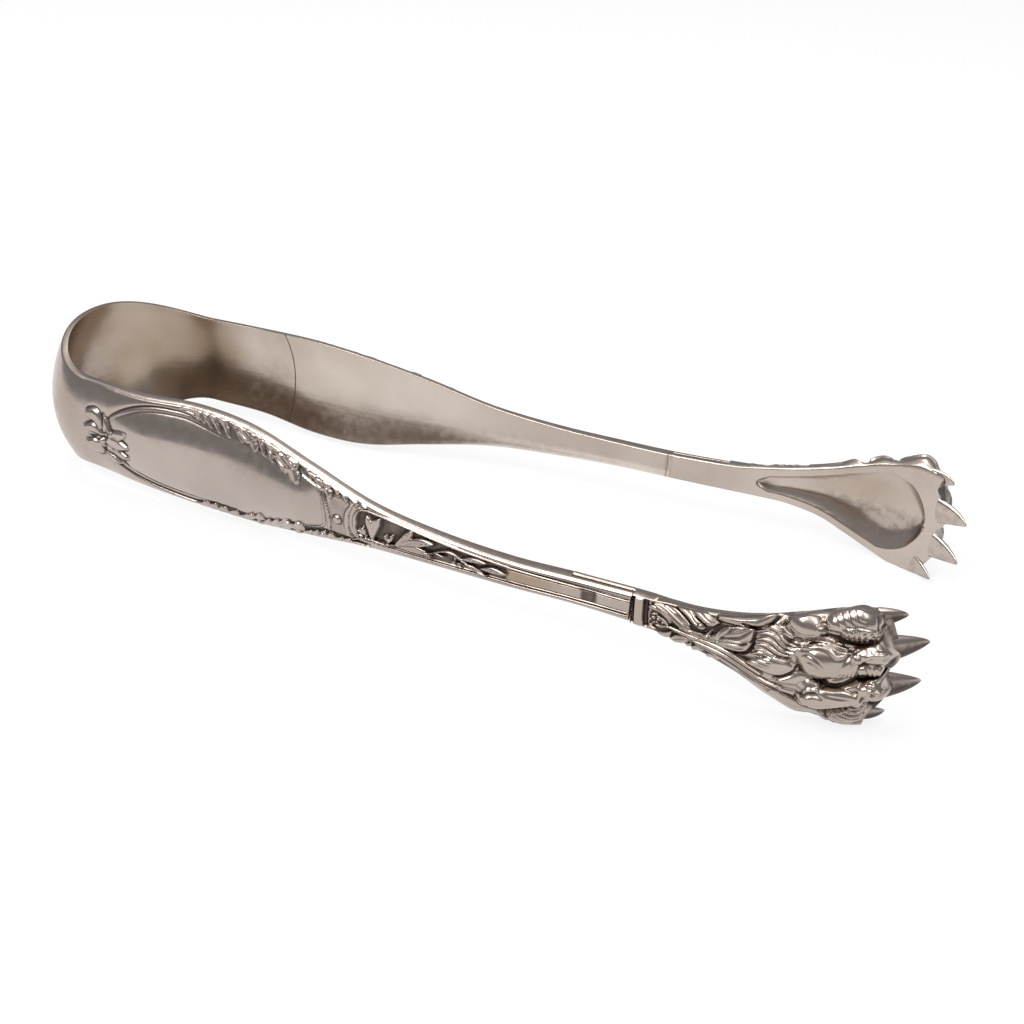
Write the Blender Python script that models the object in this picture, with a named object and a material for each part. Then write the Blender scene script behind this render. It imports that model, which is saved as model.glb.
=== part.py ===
"""Silver sugar tongs with lion-paw grips.

A domed spring bow carries two struck arms, and each arm carries a cast paw on a half-lap
joint. The tongs lie on their edges: +X runs from the bow's crown to the claws, the near arm
is on -Y, the far arm is on +Y, and +Z is across the strip. Lengths are in metres.

Sizes along the tongs are distances from the crown's edge line, sizes across are distances
from the middle plane between the arms, and heights are distances from the strip's straight
middle line. The bow is wider than the paws, so the tongs lie with their claws tilted down a
little, and the function "place" turns these sizes into the part's own frame.
"""
import math
from typing import NamedTuple

import bmesh
import bpy
from mathutils import Matrix, Vector

# The bow: a strip bent into a U. Its plan is a superellipse, its outer face is domed, and it
# is widest at the crown.
BOW_DEPTH = 0.0129
BOW_SPACING = 0.0316
BOW_SQUARENESS = 2.1
CROWN_WIDTH = 0.0246
CROWN_CAMBER = 0.0032
CROWN_LIFT = 0.0001
BOW_END_WIDTH = 0.0165
BOW_END_CAMBER = 0.0022
BOW_END_LIFT = -0.0002
BOW_TAPER = 2.0
BOW_WALL = 0.0011
BOW_COLUMNS = 10
CROWN_LINES = (0.80, 0.55, 0.28)

# The bow flexes at two places, where its segments keep a running gap.
FLEX_TURN = math.radians(45)
FLEX_GAP = 0.0003
FLEX_AXIS_OFFSET = 0.0009

# Solder joints: the arm butts on the bow, and the paw's tongue laps behind the arm.
SOLDER_GAP = 0.0003
BOW_SEAM = 0.0297
LAP_START = 0.1029
LAP_END = 0.1122
STEP_RUN = 0.00015

# Relief on the arm's outer face: a raised border round the cartouche panel.
BORDER_START = 0.0150
BORDER_END = 0.0640
BORDER_FADE = 0.0030
BORDER_HEIGHT = 0.0004
BORDER_LINES = (0.94, 0.84)
PANEL_LINES = (0.74, 0.50, 0.25)
ARM_COLUMN_STEP = 0.0024

# The collar band round the top of the paw.
COLLAR_START = 0.1130
COLLAR_END = 0.1149
COLLAR_HEIGHT = 0.0003

# The paw's front. Places in the paw are shares of the run from its collar to its front.
PALM_FRONT = 0.1472


class Station(NamedTuple):
    """One cross-section of the arm's strip."""
    along: float
    spacing: float
    width: float
    wall: float
    camber: float
    lift: float


STRIP = (
    Station(BOW_DEPTH, BOW_SPACING, BOW_END_WIDTH, BOW_WALL, BOW_END_CAMBER, BOW_END_LIFT),
    Station(0.0240, 0.0331, 0.0170, BOW_WALL, 0.0023, -0.0003),
    Station(0.0355, 0.0318, 0.0184, BOW_WALL, 0.0024, -0.0004),
    Station(0.0460, 0.0325, 0.0174, BOW_WALL, 0.0021, -0.0006),
    Station(0.0580, 0.0363, 0.0127, 0.0012, 0.0013, -0.0006),
    Station(0.0700, 0.0395, 0.0076, 0.0015, 0.0006, -0.0008),
    Station(0.0820, 0.0413, 0.0053, 0.0018, 0.0004, -0.0007),
    Station(0.0940, 0.0424, 0.0043, 0.0021, 0.0003, -0.0003),
    Station(0.1040, 0.0422, 0.0042, 0.0022, 0.0003, 0.0002),
    Station(0.1140, 0.0430, 0.0046, 0.0020, 0.0003, 0.0007),
)


def paw_place(share):
    """A distance along the tongs, from a share of the paw's run."""
    return COLLAR_END + share * (PALM_FRONT - COLLAR_END)


class PalmStation(NamedTuple):
    """One cross-section of the paw: its sides, its flat inner rim and its domed back."""
    along: float
    top: float
    bottom: float
    rim: float
    edge: float
    dome: float
    squareness: float


PALM = (
    PalmStation(paw_place(0.0960), 0.0035, -0.0018, 0.0213, 0.0013, 0.0023, 4.0),
    PalmStation(paw_place(0.2353), 0.0043, -0.0021, 0.0221, 0.0010, 0.0027, 3.2),
    PalmStation(paw_place(0.4056), 0.0058, -0.0032, 0.0227, 0.0009, 0.0033, 2.5),
    PalmStation(paw_place(0.5449), 0.0075, -0.0050, 0.0228, 0.0009, 0.0038, 2.2),
    PalmStation(paw_place(0.6533), 0.0089, -0.0063, 0.0225, 0.0009, 0.0039, 2.2),
    PalmStation(paw_place(0.8080), 0.0105, -0.0076, 0.0213, 0.0010, 0.0039, 2.2),
    PalmStation(paw_place(0.9164), 0.0106, -0.0075, 0.0201, 0.0012, 0.0036, 2.5),
    PalmStation(paw_place(1.0093), 0.0100, -0.0063, 0.0189, 0.0015, 0.0030, 3.0),
)
PALM_FRONT_ROUNDING = 55.0
PALM_COLUMN_STEP = 0.0018
PALM_LINES = 15

# The pear-shaped hollow in the paw's flat inner face. Its round nose stops short of the
# paw's front by the front rim, and its narrow end is shallow.
HOLLOW_START = 0.1174
HOLLOW_NOSE = 0.0074
HOLLOW_FRONT_RIM = 0.0021
HOLLOW_END = PALM_FRONT - HOLLOW_FRONT_RIM
HOLLOW_WIDEST = HOLLOW_END - HOLLOW_NOSE
HOLLOW_RIM = 0.0013
HOLLOW_DEPTH = 0.0027
HOLLOW_SHALLOWEST = 0.3


class Toe(NamedTuple):
    """A rounded toe from its knuckle to its cuff, and the hooked claw that leaves it."""
    knuckle: tuple
    cuff: tuple
    radius: float
    claw_root: tuple
    claw_bend: tuple
    claw_tip: tuple
    claw_radius: float


TOES = (
    Toe((paw_place(0.6378), 0.0233, 0.0068), (paw_place(0.8390), 0.0224, 0.0088), 0.0023,
        (paw_place(0.8762), 0.0208, 0.0092), (paw_place(0.9505), 0.0202, 0.0099),
        (paw_place(0.9876), 0.0192, 0.0098), 0.0016),
    Toe((paw_place(0.6904), 0.0240, 0.0036), (paw_place(0.9381), 0.0222, 0.0055), 0.0026,
        (paw_place(0.9412), 0.0198, 0.0048), (paw_place(1.0341), 0.0179, 0.0052),
        (paw_place(1.0898), 0.0164, 0.0051), 0.0020),
    Toe((paw_place(0.7090), 0.0239, -0.0014), (paw_place(0.9567), 0.0215, 0.0002), 0.0026,
        (paw_place(0.9567), 0.0194, -0.0010), (paw_place(1.0433), 0.0176, -0.0012),
        (paw_place(1.0960), 0.0160, -0.0013), 0.0020),
    Toe((paw_place(0.7399), 0.0222, -0.0046), (paw_place(0.8885), 0.0207, -0.0052), 0.0021,
        (paw_place(0.8700), 0.0203, -0.0055), (paw_place(0.9567), 0.0196, -0.0062),
        (paw_place(0.9938), 0.0177, -0.0062), 0.0016),
)
TOE_BLEND = 0.0006
CLAW_TIP_RADIUS = 0.00025
CLAW_RINGS = 5
CLAW_SIDES = 8

# How the tongs lie: the crown's lower edge and the paws' lowest stations share one plane,
# and both are worn flat there. The origin is under the middle of the length.
REST_WEAR = 0.0002
CROWN_DROP = CROWN_WIDTH / 2 - CROWN_LIFT
LOWEST = min(PALM, key=lambda station: station.bottom)
REST_TILT = math.atan((CROWN_DROP + LOWEST.bottom) / LOWEST.along)
REST_HEIGHT = CROWN_DROP * math.cos(REST_TILT) - REST_WEAR
CROWN_REACH = CROWN_CAMBER + BOW_WALL / 2
CLAW_REACH = max(toe.claw_tip[0] for toe in TOES) + CLAW_TIP_RADIUS / 2
MIDDLE = (CLAW_REACH * math.cos(REST_TILT) - CROWN_REACH) / 2

NEAR, FAR = -1, 1


def clear_scene():
    """Remove whatever the scene holds."""
    for item in list(bpy.data.objects):
        bpy.data.objects.remove(item, do_unlink=True)


def silver(name, colour, roughness):
    """A silver finish: its colour and how polished it is."""
    material = bpy.data.materials.new(name)
    material.use_nodes = True
    surface = material.node_tree.nodes["Principled BSDF"]
    surface.inputs["Base Color"].default_value = (*colour, 1)
    surface.inputs["Metallic"].default_value = 1
    surface.inputs["Roughness"].default_value = roughness
    return material


def place(side, along, across, height):
    """A point of the part's frame from its distances along, across and up."""
    forward = along * math.cos(REST_TILT) + height * math.sin(REST_TILT)
    upward = height * math.cos(REST_TILT) - along * math.sin(REST_TILT)
    return Vector((forward - MIDDLE, side * across, max(upward + REST_HEIGHT, 0)))


def fair(stations, field, along):
    """A smooth curve of one size through the stations, by cubic pieces."""
    places = [station.along for station in stations]
    sizes = [getattr(station, field) for station in stations]
    last = len(places) - 1
    along = min(max(along, places[0]), places[-1])
    k = next((i for i in range(last) if along <= places[i + 1]), last - 1)

    def slope(i):
        before, after = max(i - 1, 0), min(i + 1, last)
        return (sizes[after] - sizes[before]) / (places[after] - places[before])

    run = places[k + 1] - places[k]
    t = (along - places[k]) / run
    return ((2 * t ** 3 - 3 * t ** 2 + 1) * sizes[k] + (t ** 3 - 2 * t ** 2 + t) * run * slope(k)
            + (3 * t ** 2 - 2 * t ** 3) * sizes[k + 1] + (t ** 3 - t ** 2) * run * slope(k + 1))


def smooth_step(value, low, high):
    """0 below low, 1 above high, and a smooth rise between them."""
    t = min(max((value - low) / (high - low), 0), 1)
    return t * t * (3 - 2 * t)


def evenly(start, end, step):
    """Positions from start to end, no further apart than the step."""
    count = max(1, math.ceil((end - start) / step))
    return [start + (end - start) * i / count for i in range(count + 1)]


def both_ways(lines):
    """Lines across the strip at these shares of its half width, with both edges and the middle."""
    return [-1, *(-line for line in lines), 0, *reversed(lines), 1]


def bow_plan(turn):
    """The bow's edge line seen from above: its place and its outward direction at a turn."""
    power = 2 / BOW_SQUARENESS
    forward, aside = math.cos(turn) ** power, math.sin(turn) ** power
    outward = Vector((-forward ** (BOW_SQUARENESS - 1) / BOW_DEPTH,
                      aside ** (BOW_SQUARENESS - 1) / (BOW_SPACING / 2)))
    return Vector((BOW_DEPTH * (1 - forward), BOW_SPACING / 2 * aside)), outward.normalized()


def bow_point(side, turn, line, depth):
    """A point of the bow: line is -1 to 1 across it, depth is out from its middle skin."""
    spot, outward = bow_plan(turn)
    share = max(1 - spot.x / BOW_DEPTH, 0) ** BOW_TAPER
    width = BOW_END_WIDTH + (CROWN_WIDTH - BOW_END_WIDTH) * share
    camber = BOW_END_CAMBER + (CROWN_CAMBER - BOW_END_CAMBER) * share
    lift = BOW_END_LIFT + (CROWN_LIFT - BOW_END_LIFT) * share
    spot += outward * (camber * (1 - line * line) + depth)
    return place(side, spot.x, spot.y, lift + line * width / 2)


def strip_point(side, along, line, depth):
    """A point of an arm: line is -1 to 1 across it, depth is out from its middle skin."""
    span = 0.0005
    rise = (fair(STRIP, "spacing", along + span) - fair(STRIP, "spacing", along - span)) / 2
    outward = Vector((-rise, 2 * span)).normalized()
    bulge = fair(STRIP, "camber", along) * (1 - line * line) + depth
    spot = Vector((along, fair(STRIP, "spacing", along) / 2)) + outward * bulge
    height = fair(STRIP, "lift", along) + line * fair(STRIP, "width", along) / 2
    return place(side, spot.x, spot.y, height)


def border(along, line):
    """How far the cartouche's border stands out of the arm."""
    reach = (smooth_step(along, BORDER_START, BORDER_START + BORDER_FADE)
             - smooth_step(along, BORDER_END - BORDER_FADE, BORDER_END))
    return BORDER_HEIGHT * reach if abs(line) in BORDER_LINES else 0


def palm_stations():
    """The paw's stations, which begin with the arm's own section."""
    root = [PalmStation(station.along, station.lift + station.width / 2,
                        station.lift - station.width / 2, (station.spacing - station.wall) / 2,
                        station.wall, station.wall + station.camber, 2.0)
            for station in STRIP if station.along > LAP_START - ARM_COLUMN_STEP]
    return (*root, *PALM)


def palm_outline(along_share, line, start):
    """A point of the paw's outline net: its distance along, its height and its place across."""
    stations = palm_stations()
    half = (fair(stations, "top", PALM_FRONT) - fair(stations, "bottom", PALM_FRONT)) / 2
    tilt = PALM_FRONT_ROUNDING * (line * half) ** 2
    along = start + (PALM_FRONT - tilt - start) * along_share
    top, bottom = fair(stations, "top", along), fair(stations, "bottom", along)
    return along, (top + bottom) / 2 + line * (top - bottom) / 2


def toe_back(toe, along, height):
    """How far out a toe's round back lies over a point of the paw, or none."""
    first, second = Vector(toe.knuckle), Vector(toe.cuff)
    spot = Vector((along, 0, height))
    run = Vector((second.x - first.x, 0, second.z - first.z))
    share = min(max((spot - Vector((first.x, 0, first.z))).dot(run) / run.length_squared, 0), 1)
    centre = first.lerp(second, share)
    offset = math.hypot(along - centre.x, height - centre.z)
    return centre.y + math.sqrt(toe.radius ** 2 - offset ** 2) if offset < toe.radius else None


def softer_of(first, second):
    """The larger of two distances, with a fillet where they meet."""
    near = max(TOE_BLEND - abs(first - second), 0) / TOE_BLEND
    return max(first, second) + near * near * TOE_BLEND / 4


def palm_back(along, line, height):
    """The paw's outer surface: a domed back with toes and a collar band."""
    stations = palm_stations()
    rim, edge, dome = (fair(stations, field, along) for field in ("rim", "edge", "dome"))
    swell = (1 - abs(line) ** fair(stations, "squareness", along)) ** 0.6
    back = rim + edge + (dome - edge) * swell
    if abs(line) < 1:
        for toe in TOES:
            over = toe_back(toe, along, height)
            if over is not None:
                back = softer_of(back, over)
    if COLLAR_START <= along <= COLLAR_END:
        back += COLLAR_HEIGHT
    return back


def palm_hollow(along, height):
    """How deep the pear-shaped hollow is in the paw's inner face."""
    if not HOLLOW_START < along < HOLLOW_END:
        return 0
    stations = palm_stations()
    at = min(along, HOLLOW_WIDEST)
    top, bottom = fair(stations, "top", at), fair(stations, "bottom", at)
    half = (top - bottom) / 2 - HOLLOW_RIM
    if along > HOLLOW_WIDEST:
        half *= math.sqrt(1 - ((along - HOLLOW_WIDEST) / HOLLOW_NOSE) ** 2)
    offset = abs(height - (top + bottom) / 2) / half
    if offset >= 1:
        return 0
    fade = smooth_step(along, HOLLOW_START, HOLLOW_WIDEST)
    share = HOLLOW_SHALLOWEST + (1 - HOLLOW_SHALLOWEST) * fade
    return HOLLOW_DEPTH * share * math.sqrt(1 - offset ** 2)


def plate(name, columns, lines, outer, inner, material):
    """A closed body between two skins, which are functions of a column and a line."""
    body = bmesh.new()
    bmesh.ops.create_grid(body, x_segments=len(columns) - 1, y_segments=len(lines) - 1, size=0.5)
    spots = {vert: (round((vert.co.x + 0.5) * (len(columns) - 1)),
                    round((vert.co.y + 0.5) * (len(lines) - 1))) for vert in body.verts}
    grid = {spot: vert for vert, spot in spots.items()}
    raised = bmesh.ops.extrude_face_region(body, geom=body.faces[:], use_keep_orig=True)
    for vert in raised["geom"]:
        if isinstance(vert, bmesh.types.BMVert):
            column = round((vert.co.x + 0.5) * (len(columns) - 1))
            line = round((vert.co.y + 0.5) * (len(lines) - 1))
            vert.co = outer(columns[column], lines[line])
    for (column, line), vert in grid.items():
        vert.co = inner(columns[column], lines[line])
    return finish(name, body, material)


def finish(name, body, material):
    """Turn a mesh under construction into a smooth-shaded object."""
    bmesh.ops.recalc_face_normals(body, faces=body.faces[:])
    if body.calc_volume(signed=True) < 0:
        bmesh.ops.reverse_faces(body, faces=body.faces[:])
    mesh = bpy.data.meshes.new(name)
    body.to_mesh(mesh)
    body.free()
    mesh.materials.append(material)
    mesh.shade_smooth()
    mesh.set_sharp_from_angle(angle=math.radians(40))
    item = bpy.data.objects.new(name, mesh)
    bpy.context.collection.objects.link(item)
    return item


def bow_crown(material):
    """The crown of the bow, between the two places where it flexes."""
    margin = flex_margin()
    turns = evenly(-(FLEX_TURN - margin), FLEX_TURN - margin, 2 * FLEX_TURN / BOW_COLUMNS)
    lines = both_ways(CROWN_LINES)

    def skin(depth):
        return lambda turn, line: bow_point(FAR if turn > 0 else NEAR, abs(turn), line, depth)

    return plate("bow_crown", turns, lines, skin(BOW_WALL / 2), skin(-BOW_WALL / 2), material)


def flex_margin():
    """The turn that half the running gap takes up on the bow."""
    small = 0.001
    run = (bow_plan(FLEX_TURN + small)[0] - bow_plan(FLEX_TURN - small)[0]).length / (2 * small)
    return FLEX_GAP / 2 / run


def bow_flank(side, name, material):
    """One side of the bow, from where it flexes to the arm's solder joint."""
    turns = evenly(FLEX_TURN + flex_margin(), math.pi / 2, FLEX_TURN / 5)
    straight = evenly(BOW_DEPTH, BOW_SEAM, ARM_COLUMN_STEP)[1:]
    columns = [("bow", turn) for turn in turns] + [("strip", along) for along in straight]
    lines = both_ways((*BORDER_LINES, *PANEL_LINES))

    def skin(depth, relief):
        def point(column, line):
            kind, at = column
            if kind == "bow":
                return bow_point(side, at, line, depth)
            return strip_point(side, at, line, depth + relief * border(at, line))
        return point

    return plate(name, columns, lines, skin(BOW_WALL / 2, 1), skin(-BOW_WALL / 2, 0), material)


def arm(side, name, material):
    """A struck arm, from the bow's joint to the end of the lap that covers the paw's tongue."""
    columns = (evenly(BOW_SEAM + SOLDER_GAP, BORDER_END, ARM_COLUMN_STEP)
               + evenly(BORDER_END, LAP_START - STEP_RUN, 2 * ARM_COLUMN_STEP)[1:]
               + evenly(LAP_START, LAP_END, 2 * ARM_COLUMN_STEP))
    lines = both_ways((*BORDER_LINES, *PANEL_LINES))

    def outer(along, line):
        return strip_point(side, along, line,
                           fair(STRIP, "wall", along) / 2 + border(along, line))

    def inner(along, line):
        depth = -fair(STRIP, "wall", along) / 2
        return strip_point(side, along, line, SOLDER_GAP / 2 if along >= LAP_START else depth)

    return plate(name, columns, lines, outer, inner, material)


def claw(side, toe, name, material):
    """A hooked claw, round and tapering, which starts inside its toe."""
    root, bend, tip = (place(side, *point) for point in
                       (toe.claw_root, toe.claw_bend, toe.claw_tip))
    body = bmesh.new()
    rings = []
    for k in range(CLAW_RINGS + 1):
        t = k / CLAW_RINGS
        centre = root * (1 - t) ** 2 + bend * 2 * t * (1 - t) + tip * t ** 2
        heading = (bend - root) * (1 - t) + (tip - bend) * t
        radius = toe.claw_radius + (CLAW_TIP_RADIUS - toe.claw_radius) * t
        turn = heading.to_track_quat("Z", "Y").to_matrix().to_4x4()
        ring = bmesh.ops.create_circle(body, segments=CLAW_SIDES, radius=radius,
                                       matrix=Matrix.Translation(centre) @ turn)
        rings.append({edge for vert in ring["verts"] for edge in vert.link_edges})
    for first, second in zip(rings, rings[1:]):
        bmesh.ops.bridge_loops(body, edges=[*first, *second])
    bmesh.ops.holes_fill(body, edges=[*rings[0], *rings[-1]], sides=CLAW_SIDES)
    return finish(name, body, material)


def paw(side, name, material):
    """A cast paw: its tongue behind the arm, its collar, its hollowed palm, toes and claws."""
    start = LAP_START + SOLDER_GAP
    step = LAP_END + SOLDER_GAP
    stops = (evenly(start, step, 2 * ARM_COLUMN_STEP)
             + [step + STEP_RUN, COLLAR_START - STEP_RUN, COLLAR_START, COLLAR_END,
                COLLAR_END + STEP_RUN]
             + evenly(COLLAR_END + STEP_RUN, PALM_FRONT, PALM_COLUMN_STEP)[1:])
    shares = [(stop - start) / (PALM_FRONT - start) for stop in stops]
    lines = [-1 + 2 * k / (PALM_LINES - 1) for k in range(PALM_LINES)]
    lines = [math.sin(line * math.pi / 2) * 0.5 + line * 0.5 for line in lines]

    def net(share, line):
        stop = start + share * (PALM_FRONT - start)
        along, height = palm_outline(share, line, start)
        return (stop, height) if stop <= COLLAR_END + STEP_RUN else (along, height)

    def outer(share, line):
        along, height = net(share, line)
        if along <= step:
            return place(side, along, fair(STRIP, "spacing", along) / 2 - SOLDER_GAP / 2
                         + fair(STRIP, "camber", along) * (1 - line * line), height)
        return place(side, along, palm_back(along, line, height), height)

    def inner(share, line):
        along, height = net(share, line)
        rim = fair(palm_stations(), "rim", along)
        return place(side, along, rim + palm_hollow(along, height), height)

    palm = plate(name, shares, lines, outer, inner, material)
    for number, toe in enumerate(TOES, 1):
        cutter = claw(side, toe, f"{name}_claw_{number}_guide", material)
        cutter.hide_render = True
        cutter.display_type = "WIRE"
        join = palm.modifiers.new(f"claw_{number}", "BOOLEAN")
        join.operation = "UNION"
        join.solver = "EXACT"
        join.object = cutter
    return palm


def hinge(side, name):
    """The upright line that one side of the tongs turns about when the bow flexes."""
    spot, outward = bow_plan(FLEX_TURN)
    spot += outward * FLEX_AXIS_OFFSET
    empty = bpy.data.objects.new(name, None)
    empty.location = place(side, spot.x, spot.y, 0)
    empty.rotation_euler = (0, REST_TILT, 0)
    bpy.context.collection.objects.link(empty)
    return empty


def carry(pivot, *pieces):
    """Hang pieces on a hinge, with their origins on its axis."""
    at_hinge = Matrix.Translation(pivot.location) @ Matrix.Rotation(REST_TILT, 4, "Y")
    for piece in pieces:
        piece.data.transform(at_hinge.inverted())
        piece.parent = pivot


def build():
    """Build the tongs."""
    clear_scene()
    bow_silver = silver("bow_silver", (0.60, 0.57, 0.53), 0.28)
    arm_silver = silver("arm_silver", (0.66, 0.63, 0.60), 0.30)
    paw_silver = silver("paw_silver", (0.62, 0.59, 0.56), 0.34)
    bow_crown(bow_silver)
    for side, word in ((NEAR, "near"), (FAR, "far")):
        pivot = hinge(side, f"{word}_arm_hinge")
        carry(pivot,
              bow_flank(side, f"{word}_bow_flank", bow_silver),
              arm(side, f"{word}_arm", arm_silver),
              paw(side, f"{word}_paw", paw_silver))


build()
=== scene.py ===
"""Dresses the silver lion-paw tongs: chased arms, cast paws and the tarnished spring bow.

Sizes are in millimetres along, across and up the tongs as they are made, until Lay puts a
point in the frame in metres.
"""
import logging
import math
from dataclasses import dataclass, field
from enum import Enum
from typing import Sequence

import bmesh
import bpy
import numpy as np
from mathutils import Matrix, Vector


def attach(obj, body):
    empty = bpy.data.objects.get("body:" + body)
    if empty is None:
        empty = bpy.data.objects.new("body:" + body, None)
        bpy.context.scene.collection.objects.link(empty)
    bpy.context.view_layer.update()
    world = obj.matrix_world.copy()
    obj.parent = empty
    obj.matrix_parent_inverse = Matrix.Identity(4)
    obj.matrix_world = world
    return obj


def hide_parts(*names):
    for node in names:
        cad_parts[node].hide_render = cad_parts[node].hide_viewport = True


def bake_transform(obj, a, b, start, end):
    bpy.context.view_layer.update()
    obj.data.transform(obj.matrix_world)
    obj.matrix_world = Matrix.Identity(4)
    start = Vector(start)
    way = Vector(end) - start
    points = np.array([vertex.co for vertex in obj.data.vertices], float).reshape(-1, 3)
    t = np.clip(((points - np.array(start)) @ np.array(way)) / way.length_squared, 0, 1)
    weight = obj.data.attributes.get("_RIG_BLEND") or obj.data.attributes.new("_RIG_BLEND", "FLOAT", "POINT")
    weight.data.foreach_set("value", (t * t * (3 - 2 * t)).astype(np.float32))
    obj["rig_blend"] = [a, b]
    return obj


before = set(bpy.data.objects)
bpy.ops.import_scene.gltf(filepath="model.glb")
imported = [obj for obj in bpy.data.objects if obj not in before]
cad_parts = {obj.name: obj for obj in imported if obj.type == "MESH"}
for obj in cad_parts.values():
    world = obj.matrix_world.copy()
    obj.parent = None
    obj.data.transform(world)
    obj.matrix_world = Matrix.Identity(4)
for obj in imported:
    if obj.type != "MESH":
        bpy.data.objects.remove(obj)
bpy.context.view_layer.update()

LOG = logging.getLogger("tongs")
Points = Sequence[tuple[float, float]]
SHARP = math.radians(75)  # edges that turn more than this stay sharp
EASE = 0.02  # the very short first step of a net, so that shading carries across a joint
BOW_JOINT = 29.7  # where the bow is soldered to the arm
SEAM_WIDTH = 0.14  # of the dark line there
FLOOR = 0.02  # the lowest that any point lies above the table


class Side(Enum):
    """The two arms; the value is the sign of Y."""
    NEAR = -1
    FAR = 1

    @property
    def word(self) -> str:
        """The word in the names of this side's nodes."""
        return self.name.lower()


class Kind(Enum):
    """What a stroke of the chaser's or modeller's tool leaves behind."""
    LEAF = "leaf"
    RIDGE = "ridge"
    GROOVE = "groove"
    BEAD = "bead"
    STRAND = "strand"
    PILLOW = "pillow"
    VALLEY = "valley"


@dataclass(frozen=True)
class Curve:
    """A size at stations, joined by smooth cubic pieces."""
    places: tuple[float, ...]
    sizes: tuple[float, ...]

    def at(self, where: np.ndarray) -> np.ndarray:
        """The size at each place.

        Args:
            where: Places along the stations.

        Returns:
            The sizes there; beyond the ends they keep the end's size.
        """
        xs, ys = np.array(self.places, float), np.array(self.sizes, float)
        number = np.arange(len(xs))
        before, after = np.maximum(number - 1, 0), np.minimum(number + 1, len(xs) - 1)
        slope = (ys[after] - ys[before]) / (xs[after] - xs[before])
        x = np.clip(where, xs[0], xs[-1])
        k = np.clip(np.searchsorted(xs, x) - 1, 0, len(xs) - 2)
        run = xs[k + 1] - xs[k]
        t = (x - xs[k]) / run
        return ((2 * t ** 3 - 3 * t ** 2 + 1) * ys[k] + (t ** 3 - 2 * t ** 2 + t) * run * slope[k]
                + (3 * t ** 2 - 2 * t ** 3) * ys[k + 1] + (t ** 3 - t ** 2) * run * slope[k + 1])


def smooth_step(value: np.ndarray, low: float, high: float) -> np.ndarray:
    """0 below low, 1 above high, and a smooth rise between them."""
    t = np.clip((value - low) / (high - low), 0, 1)
    return t * t * (3 - 2 * t)


def plateau(value: np.ndarray, a: float, b: float, c: float, d: float) -> np.ndarray:
    """1 between b and c, with a smooth rise from a and a smooth fall to d."""
    return smooth_step(value, a, b) * (1 - smooth_step(value, c, d))


def bell(value: np.ndarray, middle: float, width: float) -> np.ndarray:
    """1 in the middle, with a soft fall of that width on both sides."""
    return np.exp(-((value - middle) / width) ** 2)


@dataclass(frozen=True)
class Lay:
    """How the tongs lie on their edges: tilted until crown and paws both touch the table."""
    crown_drop: float = 12.2
    paw_drop: float = 7.6
    paw_at: float = 141.0
    wear: float = 0.2
    crown_reach: float = 3.75
    claw_reach: float = 150.425

    @property
    def tilt(self) -> float:
        """The turn about Y."""
        return math.atan((self.crown_drop - self.paw_drop) / self.paw_at)

    def place(self, side: Side, points: np.ndarray) -> np.ndarray:
        """Points of the frame.

        Args:
            side: The arm they belong to.
            points: Along, across and up in millimetres, in the last axis.

        Returns:
            The same points in metres.
        """
        c, s = math.cos(self.tilt), math.sin(self.tilt)
        middle = (self.claw_reach * c - self.crown_reach) / 2
        along, across, up = points[..., 0], points[..., 1], points[..., 2]
        height = up * c - along * s + self.crown_drop * c - self.wear
        return np.stack([along * c + up * s - middle, side.value * across,
                         np.maximum(height, FLOOR)], -1) / 1000


LAY = Lay()
SHIFT = Curve((24.0, 35.5, 46.0, 52.0, 58.0, 64.0, 70.0, 82.0, 94.0, 104.0),
              (-0.03, -0.03, -0.11, -0.33, -0.55, -0.34, -0.11, -0.01, 0.08, 0.0))


@dataclass(frozen=True)
class Stations:
    """Sizes that are given at places along the tongs."""
    places: tuple[float, ...]

    def size(self, name: str, along: np.ndarray) -> np.ndarray:
        """One of the sizes at each place."""
        return Curve(self.places, getattr(self, name)).at(along)


@dataclass(frozen=True)
class Strip(Stations):
    """The struck arm's strip: its sizes at stations along the tongs."""
    places: tuple[float, ...] = (12.9, 24.0, 35.5, 46.0, 58.0, 70.0, 82.0, 94.0, 104.0, 114.0)
    spacing: tuple[float, ...] = (31.6, 33.1, 31.8, 32.5, 36.3, 39.5, 41.3, 42.4, 42.2, 43.0)
    width: tuple[float, ...] = (16.5, 17.0, 18.4, 17.4, 12.7, 7.6, 5.3, 4.3, 4.2, 4.6)
    wall: tuple[float, ...] = (1.1, 1.1, 1.1, 1.1, 1.2, 1.5, 1.8, 2.1, 2.2, 2.0)
    camber: tuple[float, ...] = (2.2, 2.3, 2.4, 2.1, 1.3, 0.6, 0.4, 0.3, 0.3, 0.3)
    lift: tuple[float, ...] = (-0.2, -0.3, -0.4, -0.6, -0.6, -0.8, -0.7, -0.3, 0.2, 0.7)


@dataclass(frozen=True)
class BowPlan:
    """The bow's superellipse in plan and how its section grows towards the crown."""
    depth: float = 12.9
    spacing: float = 31.6
    squareness: float = 2.1
    crown_width: float = 24.6
    crown_camber: float = 3.2
    crown_lift: float = 0.1
    wall: float = 1.1
    taper: float = 2.0


@dataclass
class Path:
    """The columns of a swept strip: where each stands, which way is out, and its section."""
    along: np.ndarray
    spot: np.ndarray
    out: np.ndarray
    half: np.ndarray
    camber: np.ndarray
    lift: np.ndarray
    wall: np.ndarray

    def point(self, up: np.ndarray, depth: np.ndarray) -> np.ndarray:
        """Points of the swept strip.

        Args:
            up: Heights from the strip's middle line, columns by lines.
            depth: Distances out from the middle skin, columns by lines.

        Returns:
            Along, across and up of each point.
        """
        bulge = self.camber[:, None] * (1 - (up / self.half[:, None]) ** 2) + depth
        plan = self.spot[:, None, :] + self.out[:, None, :] * bulge[..., None]
        return np.concatenate([plan, (self.lift[:, None] + up)[..., None]], -1)


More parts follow.
